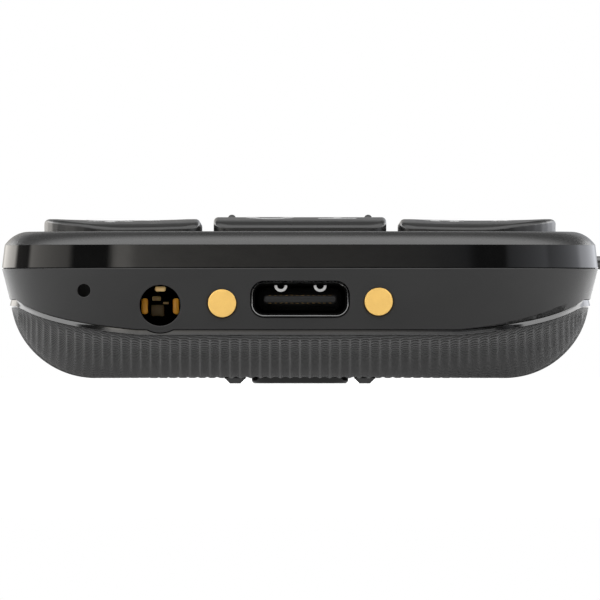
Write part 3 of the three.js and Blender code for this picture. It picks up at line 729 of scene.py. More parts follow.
# Sockets in the bottom end, placed by the CAD pieces that sit in them.
usb_low, usb_high = box_mm("usb_port_shell")
USB = (usb_low + usb_high) / 2
USB_HALF = (usb_high - usb_low) / 2
USB_CORNER = 1.15  # corner radius of the socket shell's outside
USB_LIP = 0.15  # thickness of the shell at its mouth
jack_low, jack_high = box_mm("audio_jack_body")
JACK_X, JACK_Z = (jack_low.x + jack_high.x) / 2, 7.18
JACK_R = 1.88
JACK_BORE_R = 1.84  # what stands in the bore is kept inside this
COLLAR_R = 2.5
MIC_X, MIC_Z, MIC_R = -19.85, 8.55, 0.59
CONTACT_R = 1.29
USB_HOLE_END, MIC_HOLE_END = -54.0, -55.0  # how far along Y the bottom end's holes go
JACK_HOLE_END = CONTACT_HOLE_END = -57.0
surround_low, surround_high = box_mm("camera_surround")
LENS_Y = 48.6
FLASH_Y = 39.4
RIDGE_X = 6.2


def usb_outline(half_x, half_z, r, steps=14):
    return rectangle(USB.x, USB.z, half_x, half_z, r, steps)


def contact_centre(side):
    low, high = box_mm(f"charge_contact_{side}")
    return (low + high) / 2


def nail_recess():
    """A slot for a finger nail along the cover's seam: it grows taller, then steps up near its end."""
    start, step, end = 0.584, 0.876, 0.921  # shares of the half width
    first_tall, grown, stepped_tall = 0.12, 0.45, 0.66  # how high it stands over the seam
    below, inward, outward = 0.4, 2.0, 0.8  # how far it reaches under the seam, in and out
    rings = []
    shares = np.concatenate([np.linspace(start, step, 30), np.linspace(step + 0.0005, end, 8)])
    for a in shares:
        along = (1 - a**END_POWER) ** (1 / END_POWER)
        seam = float(Outline.seam_height(along))
        part = (a - start) / (step - start)
        top = seam + first_tall + grown * part**1.5
        if a > step:
            top = seam + stepped_tall
        foot = seam - below
        section = [(top, -outward), (top, inward), (foot, inward), (foot, -outward)]
        ring = []
        for z, depth in section:
            inset = skin_inset(z) + depth
            y = HALF_LENGTH - END_DEPTH + (END_DEPTH - inset) * along
            ring.append([(HALF_WIDTH - inset) * a, -y, z])
        rings.append(np.array(ring))
    return loft("cut", rings)


def in_nail_slot(x, y, z):
    """Whether a place on the middle housing lies in the slot under the nail recess, behind the skin."""
    return 14.8 < x < 27 and y < -40 and 3.5 < z < 9 and y > skin_y(x, z) + 0.15


def middle_housing():
    in_skirt = WALL + FIT_GAP
    seam_inset = skin_inset(shell.seam)
    lip = shell.seam + SEAM_GAP
    rim = shell.seam - shell.rim
    rings = []
    for turn in reversed(quarter_turns(5)):
        inset = seam_inset + in_skirt + (ROLL - in_skirt) * (1 - math.cos(turn))
        rings.append(shell.ring(inset, rim - (rim - SKIRT_LOW) * math.sin(turn)))
    rings.append(shell.ring(seam_inset + in_skirt, lip))
    rings.append(shell.ring(skin_inset(lip) + 0.05, lip))
    for part in (0.012, 0.1, 0.2, 0.3, 0.4, 0.5, 0.6, 0.7, 0.8, 0.9, 0.988):
        z = lip + (HOUSING_TOP - lip) * part
        rings.append(shell.ring(skin_inset(z), z))
    rings.append(shell.ring(0.05, HOUSING_TOP))
    piece = loft("middle_housing_fine", rings)

    collar = circle_outline(JACK_X, JACK_Z, COLLAR_R, 96)
    boolean(piece, [prism_y("collar", collar, skin_y(collar[:, 0], collar[:, 1]), -59.0)], "UNION")

    cavity = slab("cut", 2.1, WEB_HIGH, HOUSING_TOP + 1)
    boolean(cavity, [block("corner", -23, -9.9, -65, -57.35, WEB_HIGH - 1, 9.6)])
    cuts = [cavity, volume_cut(), nail_recess()]
    # Rooms for the sockets, for the pieces at the top end, for the microphone and for the battery.
    cuts.append(prism("cut", rounded_outline(-16.5, 16.5, -57.6, -48.8, 1.0), DECK_TOP, WEB_HIGH + 1))
    cuts.append(prism("cut", rounded_outline(-17.5, 17.5, 9.2, 57.0, 6.0), DECK_TOP, WEB_HIGH + 1))
    cuts.append(block("cut", MIC_X - 1.75, MIC_X + 1.65, -57.4, -54.0, 7.0, WEB_HIGH + 1))
    cuts.append(prism("cut", rounded_outline(-20.4, 20.4, -47.6, 7.6, 0.8), SKIRT_LOW - 1, WEB_LOW))
    # Openings through the deck for the loudspeaker, the camera and the flash.
    cuts.append(block("cut", -6, 6, 21, 27, SKIRT_LOW - 1, DECK_TOP + 1))
    for y, r in ((LENS_Y, 3.1), (FLASH_Y, 1.3)):
        cuts.append(prism("cut", circle_outline(0, y, r), SKIRT_LOW - 1, DECK_TOP + 1))
    for x, y in screw_places():
        cuts.append(prism("cut", circle_outline(x, y, 1.65), 0, 5.75))
        cuts.append(prism("cut", circle_outline(x, y, 1.1), 5, WEB_HIGH + 1))

    usb = usb_outline(USB_HALF.x + 0.1, USB_HALF.z + 0.1, 1.3, 12)
    cuts.append(end_hole("cut", usb, 0.06, USB_HOLE_END))
    cuts.append(end_hole("cut", circle(JACK_X, JACK_Z, JACK_R, 96), 0.05, JACK_HOLE_END))
    cuts.append(prism_y("cut", circle_outline(JACK_X, JACK_Z, 2.6, 64), -59.6, JACK_HOLE_END))
    cuts.append(end_hole("cut", circle(MIC_X, MIC_Z, MIC_R), 0.05, MIC_HOLE_END))
    for side in ("left", "right"):
        c = contact_centre(side)
        cuts.append(end_hole("cut", circle(c.x, c.z, CONTACT_R, 80), 0.45, CONTACT_HOLE_END, sink=0.14))
    boolean(piece, cuts)
    # Faces in the slot under the nail recess take the near-black painted shade.
    give_finishes(piece, MATT, PAINTED_SHADE_BLACK)
    for face in piece.data.polygons:
        face.material_index = int(in_nail_slot(*(face.center / MM)))
    settle(piece, "housing", "matt_plastic", MATT, "middle_housing", degrees=16)


# ------------------------------------------------------------------ back cover
def ridge(x):
    """A ridge beside the camera surround, wide at its foot and with sloping ends."""
    foot, crest, slope = 1.0, 0.5, 1.5
    y0, y1 = surround_low.y, surround_high.y
    rings = []
    for half, shorter, z in ((crest, slope, 0.0), (foot, 0.0, BACK_Z), (foot, 0.0, BACK_Z + 0.5)):
        rings.append(np.array([
            (x - half, y0 + shorter, z), (x + half, y0 + shorter, z),
            (x + half, y1 - shorter, z), (x - half, y1 - shorter, z)]))
    return loft("ridge", rings)


def back_cover():
    ribs_round = 2 * round(Outline(400).quarter_length * 2 / RIB_PITCH)
    outline = Outline(ribs_round * 8)
    count = outline.count
    seam_inset = skin_inset(outline.seam)
    rim = outline.seam - outline.rim

    def roll_point(turn, wall=0.0, floor=BACK_Z):
        drop = (rim - floor) * math.sin(turn)
        lean = 0.0 if wall else RIM_LEAN + ROLL_LEAN * drop
        reach = ROLL - wall - (0.0 if wall else RIM_LEAN + ROLL_LEAN * (rim - floor))
        return seam_inset + wall + lean + reach * (1 - math.cos(turn)), rim - drop

    # The outside, from the top edge down over the rim and round to the flat of the back.
    turned = RIM_TURN * smooth_step(np.abs(outline.across), 0.68, 0.14)
    sections = [(seam_inset + turned + 0.01, outline.seam)]
    for part in (0.15, 0.35, 0.6, 0.8):
        sections.append((seam_inset + turned * (1 - part / 0.8), outline.seam - outline.rim * part))
    sections.append((seam_inset + RIM_LEAN * 0.5, outline.seam - outline.rim * 0.93))
    rim_rings = len(sections)
    turns = np.concatenate([np.linspace(0, 0.12, 4), np.linspace(0.16, math.pi / 2, 34)])
    sections += [roll_point(turn) for turn in turns]
    surface = np.array([outline.ring(inset, z) for inset, z in sections])

    # Ribs: equally spaced along the curve of the end, and each placed by how far across it is, so that
    # it runs straight along the phone. Where the body is widest they go by the way round the edge.
    table_x = np.linspace(0, HALF_WIDTH - 1.3, 800)
    slope = np.abs(np.gradient(skin_y(table_x, SEAM_SIDE - 3.0), table_x))
    table_s = np.concatenate([[0], np.cumsum(np.hypot(1, slope[1:]) * np.diff(table_x))])
    share = smooth_step(np.abs(outline.across), 0.985, 0.014)

    def rib_height(x, share, arc):
        straight = np.interp(np.abs(x), table_x, table_s)
        height = 0.0
        for phase, weight in ((straight / RIB_PITCH, 1 - share), (np.abs(arc) / RIB_PITCH, share)):
            frac = phase - np.floor(phase)
            height = height - RIB_DEPTH * weight * (1 - (2 * frac - 1) ** 2)
        return height

    across_u = np.roll(surface, -1, axis=1) - np.roll(surface, 1, axis=1)
    across_v = np.gradient(surface, axis=0)
    normal = np.cross(across_v, across_u)
    normal /= np.linalg.norm(normal, axis=2, keepdims=True)
    fade_in = np.zeros(len(sections))
    fade_in[rim_rings:] = np.clip((turns - 0.02) / 0.10, 0, 1)
    heights = rib_height(surface[:, :, 0], share, outline.arc)
    ribbed = surface + normal * (heights * fade_in[:, None])[:, :, None]

    crests = [(np.clip(1 + heights / RIB_DEPTH, 0, 1) * fade_in[:, None])[::-1].ravel()]
    points = [ribbed[::-1].reshape(-1, 3)]  # ring 0 is now the flat's edge
    rings = len(sections)
    faces = band_faces(range(0, rings * count, count), count)

    # The flat: strips along the phone between matching points of its two rounded ends.
    rows = 12
    first = int(np.argmax(outline.along > 1e-9)) - 1
    last = count // 2 - first
    flat_edge = ribbed[-1]
    total = rings * count
    columns = {}
    for k in range(first + 1, last):
        a, b = flat_edge[-k % count], flat_edge[k]
        inner = np.linspace(0, 1, rows + 2)[1:-1, None] * (b - a) + a
        sunk = rib_height(inner[:, 0], 0.0, 0.0)
        inner[:, 2] = BACK_Z - sunk
        points.append(inner)
        crests.append(1 + sunk / RIB_DEPTH)
        columns[k] = [-k % count] + list(range(total, total + rows)) + [k]
        total += rows
    for k in range(first + 1, last - 1):
        left, right = columns[k + 1], columns[k]
        for r in range(rows + 1):
            faces.append((left[r], left[r + 1], right[r + 1], right[r]))
    right_side = [i % count for i in range(-first, first + 1)]
    left_side = [i for i in range(count - last, last - 1, -1)]
    ends = ((right_side, columns[first + 1], False), (left_side, columns[last - 1], True))
    for side, column, flip in ends:
        n = len(side) - 1
        for r in range(rows + 1):
            i0, i1 = round(n * r / (rows + 1)), round(n * (r + 1) / (rows + 1))
            fan = side[i0:i1 + 1] + [column[r + 1], column[r]]
            faces.append(tuple(fan if flip else fan[::-1]))

    # The inside, from the top edge's inner side down to the floor.
    inner_sections = [(seam_inset + WALL, outline.seam)]
    inner_sections += [roll_point(turn, WALL, BACK_Z + WALL) for turn in np.linspace(0, math.pi / 2, 8)]
    base = total
    for inset, z in inner_sections:
        points.append(outline.ring(inset, z))
    loops = [(rings - 1) * count] + [base + k * count for k in range(len(inner_sections))]
    faces += band_faces(loops, count)
    floor = loops[-1]
    faces.append(tuple(range(floor, floor + count)))

    points = np.concatenate(points)
    crests = np.concatenate(crests)
    piece = mesh_object("back_cover_fine", points, faces)
    # How near each point lies to a rib's crest: the ribbed finish uses it to paint the crests lighter, as a
    # painted highlight.
    crest = piece.data.attributes.new("crest", "FLOAT", "POINT")
    crest.data.foreach_set("value", np.pad(crests, (0, len(points) - len(crests))))
    give_finishes(piece, RIBBED, RIM_GLOSS)
    rim_faces = range((rings - rim_rings - 1) * count, (rings - 1) * count)
    for index in rim_faces:
        piece.data.polygons[index].material_index = 1

    camera_room = rounded_outline(surround_low.x - 0.3, surround_high.x + 0.3,
                                  surround_low.y - 0.3, surround_high.y + 0.3, 2.3)
    collar_room = circle_outline(JACK_X, JACK_Z, COLLAR_R + 0.1, 96)
    cuts = [prism("cut", camera_room, -1, SKIRT_LOW), prism_y("cut", collar_room, -65.0, -58.7)]
    for i in range(-3, 4):
        slot = rounded_outline(i * 1.86 - 0.4, i * 1.86 + 0.4, 21, 27, 0.39, 6)
        cuts.append(prism("cut", slot, -1, SKIRT_LOW))
    boolean(piece, cuts)
    boolean(piece, [ridge(-RIDGE_X), ridge(RIDGE_X)], "UNION")
    settle(piece, "back_cover", "textured_plastic", RIBBED, "back_cover", degrees=45)


# ------------------------------------------------------------------ keys
KEY_LOW = 11.45  # underside of the keys' flanges
KEY_FILLET = 0.42
FALL_Y = [0.0, 0.5, 1.0, 1.7, 3.0, 5.35]  # a key's top falls towards its front edge: distance from it,
FALL_Z = [0.37, 0.54, 0.68, 0.79, 0.90, 1.0]  # and the share of the crest's height reached there
MARK_PROUD = 0.02  # how far print stands over a key's top
REAR_DROP = 0.10  # how far a key's top falls towards its far edge
NIB_X, NIB_R = 6.33, 0.4  # the two nibs of key 5: from its middle, and radius


def offset_ring(half_w, half_l, radii, spacing=0.3):
    """Evenly filled outline of a rounded rectangle about the origin, and its outward normals."""
    points = rounded_outline(-half_w, half_w, -half_l, half_l, radii, 10)
    dense = []
    for a, b in zip(points, np.roll(points, -1, axis=0)):
        parts = max(1, math.ceil(np.hypot(*(b - a)) / spacing))
        dense += [a + (b - a) * i / parts for i in range(parts)]
    dense = np.array(dense)
    along = np.roll(dense, -1, axis=0) - np.roll(dense, 1, axis=0)
    along /= np.linalg.norm(along, axis=1, keepdims=True)
    return dense, np.column_stack([along[:, 1], -along[:, 0]])


class Key:
    """The shape of one key: where it is, and how high its top is at any place."""

    def __init__(self, node, dish=0.0, falls=True):
        self.node, self.dish, self.falls = node, dish, falls
        self.middle, self.half_w, self.half_l, self.radii = key_frame(node)
        self.crest = box_mm("key_8" if node == "key_5" else node)[1].z
        self.outline, self.normals = offset_ring(self.half_w, self.half_l, self.radii)

    def top(self, points):
        x, y = points[:, 0], points[:, 1]
        height = self.crest - REAR_DROP * np.clip((y - 1.0) / (self.half_l - 1.0), 0, 1) ** 2
        if self.falls:
            share = np.interp(y + self.half_l, FALL_Y, FALL_Z)
            height = np.minimum(height, FRONT_Z + (self.crest - FRONT_Z) * share)
        return height - self.dish * np.clip(1 - (x / (0.85 * self.half_w)) ** 2, 0, 1)

    def place(self, points, z):
        points = points + np.array([self.middle.x, self.middle.y])
        return np.column_stack([points, np.broadcast_to(z, len(points))])

    def top_rings(self, raised=0.0):
        """Rings over the top, from the upright side in to the middle."""
        rings = []
        for turn in quarter_turns(8):
            points = self.outline - self.normals * KEY_FILLET * (1 - math.cos(turn))
            drop = KEY_FILLET * (0.45 + 0.55 * np.abs(self.normals[:, 0]))
            z = self.top(points) - drop * (1 - math.sin(turn)) + raised
            rings.append(self.place(points, z))
        edge = self.outline - self.normals * KEY_FILLET
        for share in np.linspace(0.96, 0.03, 26):
            rings.append(self.place(edge * share, self.top(edge * share) + raised))
        return rings

    def cap(self, flange_top=12.1):
        flange = self.outline + self.normals * FLANGE
        rings = [self.place(flange, KEY_LOW), self.place(flange, flange_top)]
        rings += [self.place(self.outline, flange_top), self.place(self.outline, FRONT_Z - 0.6)]
        return loft(self.node + "_fine", rings + self.top_rings())

    def mark(self, name, shapes, material):
        """Print on the key's top: the parts of upright shapes that lie in a thin skin over it."""
        inside = self.place(self.outline - self.normals * KEY_FILLET, FRONT_Z - 0.5)
        skin = self.top_rings(MARK_PROUD)[8:]
        print_mesh = loft(name, [inside] + skin)
        boolean(print_mesh, shapes, "INTERSECT")
        under = loft("cut", [self.place(self.outline, FRONT_Z - 1.5)] + self.top_rings(-0.12))
        boolean(print_mesh, [under])
        settle(print_mesh, self.node, "key_plastic", material)


def stroke(points, width, closed=False):
    """An upright solid along a path, for marks on the keys."""
    points = np.array(points, dtype=float)
    if closed:
        before, after = np.roll(points, 1, axis=0), np.roll(points, -1, axis=0)
    else:
        before = np.vstack([2 * points[0] - points[1], points[:-1]])
        after = np.vstack([points[1:], 2 * points[-1] - points[-2]])
    a, b = points - before, after - points
    a /= np.linalg.norm(a, axis=1, keepdims=True)
    b /= np.linalg.norm(b, axis=1, keepdims=True)
    side = np.column_stack([-(a + b)[:, 1], (a + b)[:, 0]])
    side /= np.linalg.norm(side, axis=1, keepdims=True)
    normal = np.column_stack([-a[:, 1], a[:, 0]])
    reach = width / 2 / np.maximum((side * normal).sum(axis=1, keepdims=True), 0.4)
    left, right = points + side * reach, points - side * reach
    n = len(points)
    vertices, faces = [], []
    for z in (FRONT_Z - 1, FRONT_Z + 3):
        for row in (left, right):
            vertices += [(x, y, z) for x, y in row]
    for i in range(n if closed else n - 1):
        j = (i + 1) % n
        faces += [(i, j, n + j, n + i), (2 * n + j, 2 * n + i, 3 * n + i, 3 * n + j)]
        faces += [(j, i, 2 * n + i, 2 * n + j), (n + i, n + j, 3 * n + j, 3 * n + i)]
    if not closed:
        faces += [(0, n, 3 * n, 2 * n), (2 * n - 1, n - 1, 3 * n - 1, 4 * n - 1)]
    return mesh_object("stroke", vertices, faces)


def arc(x, y, rx, ry, start, end, steps=20):
    turn = np.radians(np.linspace(start, end, steps + 1))
    return [(x + rx * math.cos(t), y + ry * math.sin(t)) for t in turn]


# The figures, drawn in a box 1 wide and 1 high about the origin, as lists of open paths.
FIGURE_PATHS = {
    "1": [[(-0.25, 0.28), (0.08, 0.5), (0.08, -0.5)]],
    "2": [arc(0, 0.2, 0.42, 0.3, 170, -40) + [(-0.42, -0.5), (0.45, -0.5)]],
    "3": [arc(-0.02, 0.24, 0.38, 0.26, 150, -80, 14) + arc(-0.02, -0.23, 0.44, 0.27, 80, -150, 16)],
    "4": [[(0.2, -0.5), (0.2, 0.5), (-0.45, -0.2), (0.48, -0.2)]],
    "5": [[(0.38, 0.5), (-0.3, 0.5), (-0.36, 0.06)] + arc(-0.02, -0.16, 0.43, 0.34, 130, -140, 18)],
    "6": [arc(0.1, 0.1, 0.52, 0.42, 70, 180, 10) + arc(0, -0.17, 0.42, 0.33, 180, 530, 28)],
    "7": [[(-0.42, 0.5), (0.42, 0.5), (-0.12, -0.5)]],
    "8": [arc(0, 0.26, 0.34, 0.24, 270, -88, 24), arc(0, -0.24, 0.42, 0.26, 90, 448, 26)],
    "9": [arc(-0.1, -0.1, 0.52, 0.42, 250, 360, 10) + arc(0, 0.17, 0.42, 0.33, 0, 350, 28)],
}
STROKE = 0.95


def figure(key, label, x, width=3.4, height=3.6, y=0.1):
    """The upright solids of a figure, at a place across the key."""
    place = np.array([x, key.middle.y + y])
    scale = np.array([width, height])
    if label == "0":
        turn = np.radians(np.arange(0, 360, 7.5))
        ring = np.column_stack([np.cos(turn) / 2, np.sin(turn) / 2])
        return [stroke(place + ring * scale, STROKE, closed=True)]
    if label == "hash":
        bars = [[(-0.31, -0.5), (-0.31, 0.5)], [(0.31, -0.5), (0.31, 0.5)]]
        bars += [[(-0.62, 0.2), (0.62, 0.2)], [(-0.62, -0.16), (0.62, -0.16)]]
        return [stroke(place + np.array(bar) * scale, STROKE * 0.9) for bar in bars]
    if label == "star":
        arms = []
        for turn in (90, 30, -30):
            reach = np.array([math.cos(math.radians(turn)), math.sin(math.radians(turn))]) / 2
            arms.append(stroke([place - reach * scale, place + reach * scale], STROKE))
        return arms
    return [stroke(place + np.array(path) * scale, STROKE * 0.8) for path in FIGURE_PATHS[label]]


def joined(solids):
    """One object from several solids."""
    first, *others = solids
    if others:
        boolean(first, others, "UNION")
    return [first]


FIGURE_X = {0: -17.5, 1: -2.75, 2: 13.35}  # where the figures stand on each column's keys
SIDE_MARK_X = {0: -13.6, 1: 3.45, 2: 18.5}


def figure_keys():
    for index, label in enumerate(FIGURES):
        column = index % 3
        key = Key(f"key_{label}", dish=0.0 if column == 1 else 0.13)
        piece = key.cap()
        if label == "5":
            nib_high = box_mm("key_5")[1]
            for side in (-1, 1):
                nib = dome("nib", key.middle.x + side * NIB_X, key.middle.y, nib_high.z, NIB_R)
                boolean(piece, [nib], "UNION")
        settle(piece, key.node, "key_plastic", KEY_SATIN, key.node, degrees=60)
        size = {"star": (4.6, 4.6), "0": (3.45, 3.5), "hash": (2.85, 3.8)}.get(label, (3.0, 3.4))
        shapes = joined(figure(key, label, FIGURE_X[column], *size, y=0.35))
        key.mark(key.node + "_figure", shapes, PRINT)
        x, y = SIDE_MARK_X[column], key.middle.y
        if label == "0":
            shapes = [stroke([(x - 1.75, y - 1.25), (x + 1.75, y - 1.25)], 0.75)]
            shapes += [stroke([(x, y - 1.25), (x, y + 0.9)], 0.75)]
        elif label == "hash":
            shapes = [stroke([(x - 0.6, y - 0.3), (x, y + 1.0), (x + 0.6, y - 0.3)], 0.45, closed=True)]
        elif label == "star":
            shapes = [stroke([(x - 0.7, y), (x + 0.7, y)], 0.4)]
        else:
            shapes = [stroke(arc(x + i * 1.1 - 0.55, y, 0.22, 0.22, 0, 345, 14), 0.3, closed=True)
                      for i in range(2)]
        key.mark(key.node + "_sign", joined(shapes), PRINT)


def dome(name, x, y, top_z, r):
    """A ball whose highest point is at top_z."""
    turns = np.radians(np.linspace(-84, 84, 15))
    rings = []
    for turn in turns:
        outline = circle_outline(x, y, r * math.cos(turn), 24)
        rings.append(at_height(outline, top_z - r + r * math.sin(turn)))
    return loft(name, rings)


def command_keys():
    bars = {"call_key": GREEN, "end_key": RED, "menu_key": PRINT, "back_key": PRINT}
    for node, material in bars.items():
        key = Key(node, dish=0.13)
        settle(key.cap(), node, "key_plastic", KEY_SATIN, node, degrees=60)
        x, y = key.middle.x, key.middle.y
        if node in ("call_key", "end_key"):
            shapes = [prism("bar", rounded_outline(x - 2.6, x + 2.6, y - 0.6, y + 0.6, 0.59), 12, 17)]
        else:
            shapes = [stroke([(x - 1.8, y), (x + 1.8, y)], 0.6)]
        key.mark(node + "_sign", shapes, material)

    rocker = Key("arrow_rocker")
    piece = rocker.cap(flange_top=11.8)
    ok = Key("ok_key", falls=False)
    well = [(ok.outline + ok.normals * KEY_GAP, z) for z in (KEY_LOW - 1, rocker.crest - 0.2)]
    well += [(ok.outline + ok.normals * (KEY_GAP + 0.2), z) for z in (rocker.crest, rocker.crest + 1)]
    room = [(ok.outline + ok.normals * (KEY_GAP + FLANGE), z) for z in (KEY_LOW - 1, 12.6)]
    cuts = [loft("cut", [ok.place(points, z) for points, z in rings]) for rings in (well, room)]
    boolean(piece, cuts)
    settle(piece, "arrow_rocker", "key_plastic", KEY_SATIN, "arrow_rocker", degrees=60)
    settle(ok.cap(), "ok_key", "key_plastic", KEY_SATIN, "ok_key", degrees=60)
    x, y = rocker.middle.x, rocker.middle.y
    arrows = []
    for dx, dy in ((0, 1), (0, -1), (1, 0), (-1, 0)):
        tip = np.array([x + dx * 6.6, y + dy * 7.6])
        back = tip - np.array([dx, dy]) * 0.9
        wide = np.array([-dy, dx]) * 0.9
        arrows.append(stroke([back + wide, tip, back - wide], 0.35))
    rocker.mark("arrow_rocker_signs", joined(arrows), PRINT)
    ring = stroke(arc(x, y, 1.3, 1.3, 0, 345, 30), 0.35, closed=True)
    ok.mark("ok_key_sign", [ring], PRINT)


def volume_rocker():
    """The side key: a long pad with rounded edges, and a dip between its two ends."""
    low, high = volume_low, volume_high
    half_y, half_z = (high.y - low.y) / 2, (high.z - low.z) / 2
    y, z = (low.y + high.y) / 2, (low.z + high.z) / 2
    outline, normals = offset_ring(half_y, half_z, [0.5] * 4, 0.4)
    rings = []
    fillet = 0.22
    sections = [(low.x, 0.0), (high.x - fillet, 0.0)]
    for turn in quarter_turns(6, first=1):
        sections.append((high.x - fillet * (1 - math.sin(turn)), fillet * (1 - math.cos(turn))))
    for x, inset in sections:
        points = outline - normals * inset
        dip = 0.12 * np.exp(-(points[:, 0] / 1.6) ** 2) if x > high.x - fillet - 0.01 else 0.0
        rings.append(np.column_stack([np.full(len(points), x) - dip, points[:, 0] + y, points[:, 1] + z]))
    piece = loft("volume_rocker_fine", rings)
    settle(piece, "volume_rocker", "gloss_plastic", RIM_GLOSS, "volume_rocker", degrees=60)


# ------------------------------------------------------------------ sockets and contacts
def usb_socket():
    mouth, back = usb_low.y, usb_high.y
    outside = usb_outline(USB_HALF.x, USB_HALF.z, USB_CORNER)
    piece = along_y("usb_port_shell_fine", outside, [
        (0.10, mouth), (0.03, mouth + 0.03), (0.0, mouth + 0.10), (0.0, back)])
    bore = along_y("cut", outside, [
        (USB_LIP, mouth - 1), (USB_LIP, mouth + 0.04),
        (2 * USB_LIP, mouth + 0.06), (2 * USB_LIP, back - 0.3)])
    boolean(piece, [bore])
    give_finishes(piece, LIP_STEEL, PAINTED_SHADE_BLACK)
    for face in piece.data.polygons:  # inside its lip the shell is painted black, as painted shade
        centre = face.center / MM
        past_x = abs(centre.x - USB.x) - USB_HALF.x + USB_CORNER
        past_z = abs(centre.z - USB.z) - USB_HALF.z + USB_CORNER
        inward = USB_CORNER - math.hypot(max(past_x, 0), max(past_z, 0)) - min(max(past_x, past_z), 0)
        face.material_index = int(inward > USB_LIP + 0.002)
    settle(piece, "housing", "steel", LIP_STEEL, "usb_port_shell", degrees=50)

    for side, x in (("left", -1.76), ("right", 1.85)):
        path = [(x - 0.46, USB.z + 1.38)] + arc(x, USB.z + 1.20, 0.46, 0.40, 180, 360, 16)
        path.append((x + 0.46, USB.z + 1.38))
        latch = ribbon(f"usb_latch_{side}", path, 0.24, mouth + 0.3, mouth + 1.4)
        settle(latch, "housing", "steel", LATCH_STEEL)

    root = along_y("usb_port_tongue_fine", usb_outline(3.9, 1.05, 0.9), [
        (0.1, back - 1.5), (0.0, back - 1.4), (0.0, back - 0.4)])
    blade = along_y("blade", usb_outline(3.35, 0.35, 0.3), [
        (0.12, back - 6.4), (0.03, back - 6.35), (0.0, back - 6.25), (0.0, back - 1.0)])
    boolean(root, [blade], "UNION")
    settle(root, "housing", "black_plastic", TONGUE, "usb_port_tongue", degrees=50)
    for level in (-1, 1):
        for i in range(12):
            x = USB.x + (i - 5.5) * 0.5
            z = USB.z + level * 0.35
            pad = block("usb_pad", x - 0.13, x + 0.13, back - 6.1, back - 1.6, z - 0.01, z + 0.01)
            settle(pad, "housing", "gold_plate", DIM_GOLD)


def ribbon(name, path, width, y0, y1):
    """A strip bent along a path in X and Z, from y0 to y1."""
    strip = stroke(path, width)
    for vertex in strip.data.vertices:
        x, z, level = vertex.co
        y = y1 if level > FRONT_Z * MM else y0
        vertex.co = (x, y * MM, z)
    flip_normals(strip)
    strip.name = name
    return strip


def flip_normals(piece):
    mesh = bmesh.new()
    mesh.from_mesh(piece.data)
    bmesh.ops.recalc_face_normals(mesh, faces=mesh.faces)
    mesh.to_mesh(piece.data)
    mesh.free()


def audio_socket():
    low, high = jack_low, jack_high
    nose = prism_y("audio_jack_body_fine", circle_outline(JACK_X, JACK_Z, 2.3, 72), low.y, JACK_HOLE_END)
    body = block("body", low.x, high.x, -57.2, high.y, low.z, high.z)
    bevel_edges(body, 0.25)
    boolean(nose, [body], "UNION")
    steps = ((1.92, -62.0), (1.92, low.y), (1.85, low.y + 0.2), (1.85, -50.0))
    bore = tube_along_y("cut", [(circle_outline(JACK_X, JACK_Z, r, 72), y) for r, y in steps])
    boolean(nose, [bore])
    # The jack's black body takes the near-black painted shade, which darkens its bore.
    settle(nose, "housing", "black_plastic", PAINTED_SHADE_BLACK, "audio_jack_body", degrees=50)

    # Each spring: middle across and up from the socket's middle, half sizes, y span, corner radius.
    springs = {
        "jack_spring_sleeve": (0.02, 1.53, 0.50, 0.24, -59.0, -58.2, 0.1, SPRING_GOLD),
        "jack_spring_left": (-1.43, -0.06, 0.30, 0.74, -58.6, -55.5, 0.16, AMBER),
        "jack_spring_right": (1.46, -0.06, 0.30, 0.74, -58.6, -55.5, 0.16, AMBER),
        "jack_spring_tip": (-0.36, 0.66, 0.42, 0.24, -52.8, -51.6, 0.05, SPRING_GOLD),
    }
    for node, (x, z, half_x, half_z, y0, y1, r, material) in springs.items():
        outline = rectangle(JACK_X + x, JACK_Z + z, half_x, half_z, r + 0.08, 6)
        sections = [(0.08, y0), (0.02, y0 + 0.06), (0.0, y0 + 0.15), (0.0, y1)]
        spring = along_y(node + "_fine", outline, sections)
        bounds = prism_y("bounds", circle_outline(JACK_X, JACK_Z, JACK_BORE_R, 72), -60.0, -50.5)
        boolean(spring, [bounds], "INTERSECT")
        settle(spring, "housing", "gold_plate", material, node, degrees=50)
    wiper = block("jack_wiper", JACK_X + 0.23, JACK_X + 0.76, -53.2, -52.0, JACK_Z + 0.13, JACK_Z + 0.37)
    bevel_edges(wiper, 0.05)
    settle(wiper, "housing", "gold_plate", SPRING_GOLD)
    stop = block("jack_plug_stop", JACK_X - 0.88, JACK_X + 0.35, -53.6, -51.0, JACK_Z - 0.98, JACK_Z + 0.08)
    bevel_edges(stop, 0.12)
    settle(stop, "housing", "black_plastic", OLIVE)
    # A near-black wall closing the bore: painted shade deep inside it.
    end = prism_y("jack_back_wall", circle_outline(JACK_X, JACK_Z, JACK_BORE_R, 72), -50.9, -50.2)
    settle(end, "housing", "black_plastic", PAINTED_SHADE_BLACK)


def contacts():
    for side in ("left", "right"):
        node = f"charge_contact_{side}"
        c = contact_centre(side)
        low, high = box_mm(node)
        fillet, drop = 0.10, 0.05  # the face's rounded edge: how wide it is, and how far it falls back
        face = low.y + 0.02
        sections = [(CONTACT_R * 0.97, low.y), (CONTACT_R * 0.55, low.y + 0.004), (fillet, face)]
        for turn in quarter_turns(6, first=1):
            sections.append((fillet * (1 - math.sin(turn)), face + drop * (1 - math.cos(turn))))
        sections.append((0.0, high.y))
        piece = along_y(node + "_fine", circle(c.x, c.z, CONTACT_R, 80), sections)
        settle(piece, "housing", "gold_plate", CONTACT_GOLD, node, degrees=60)


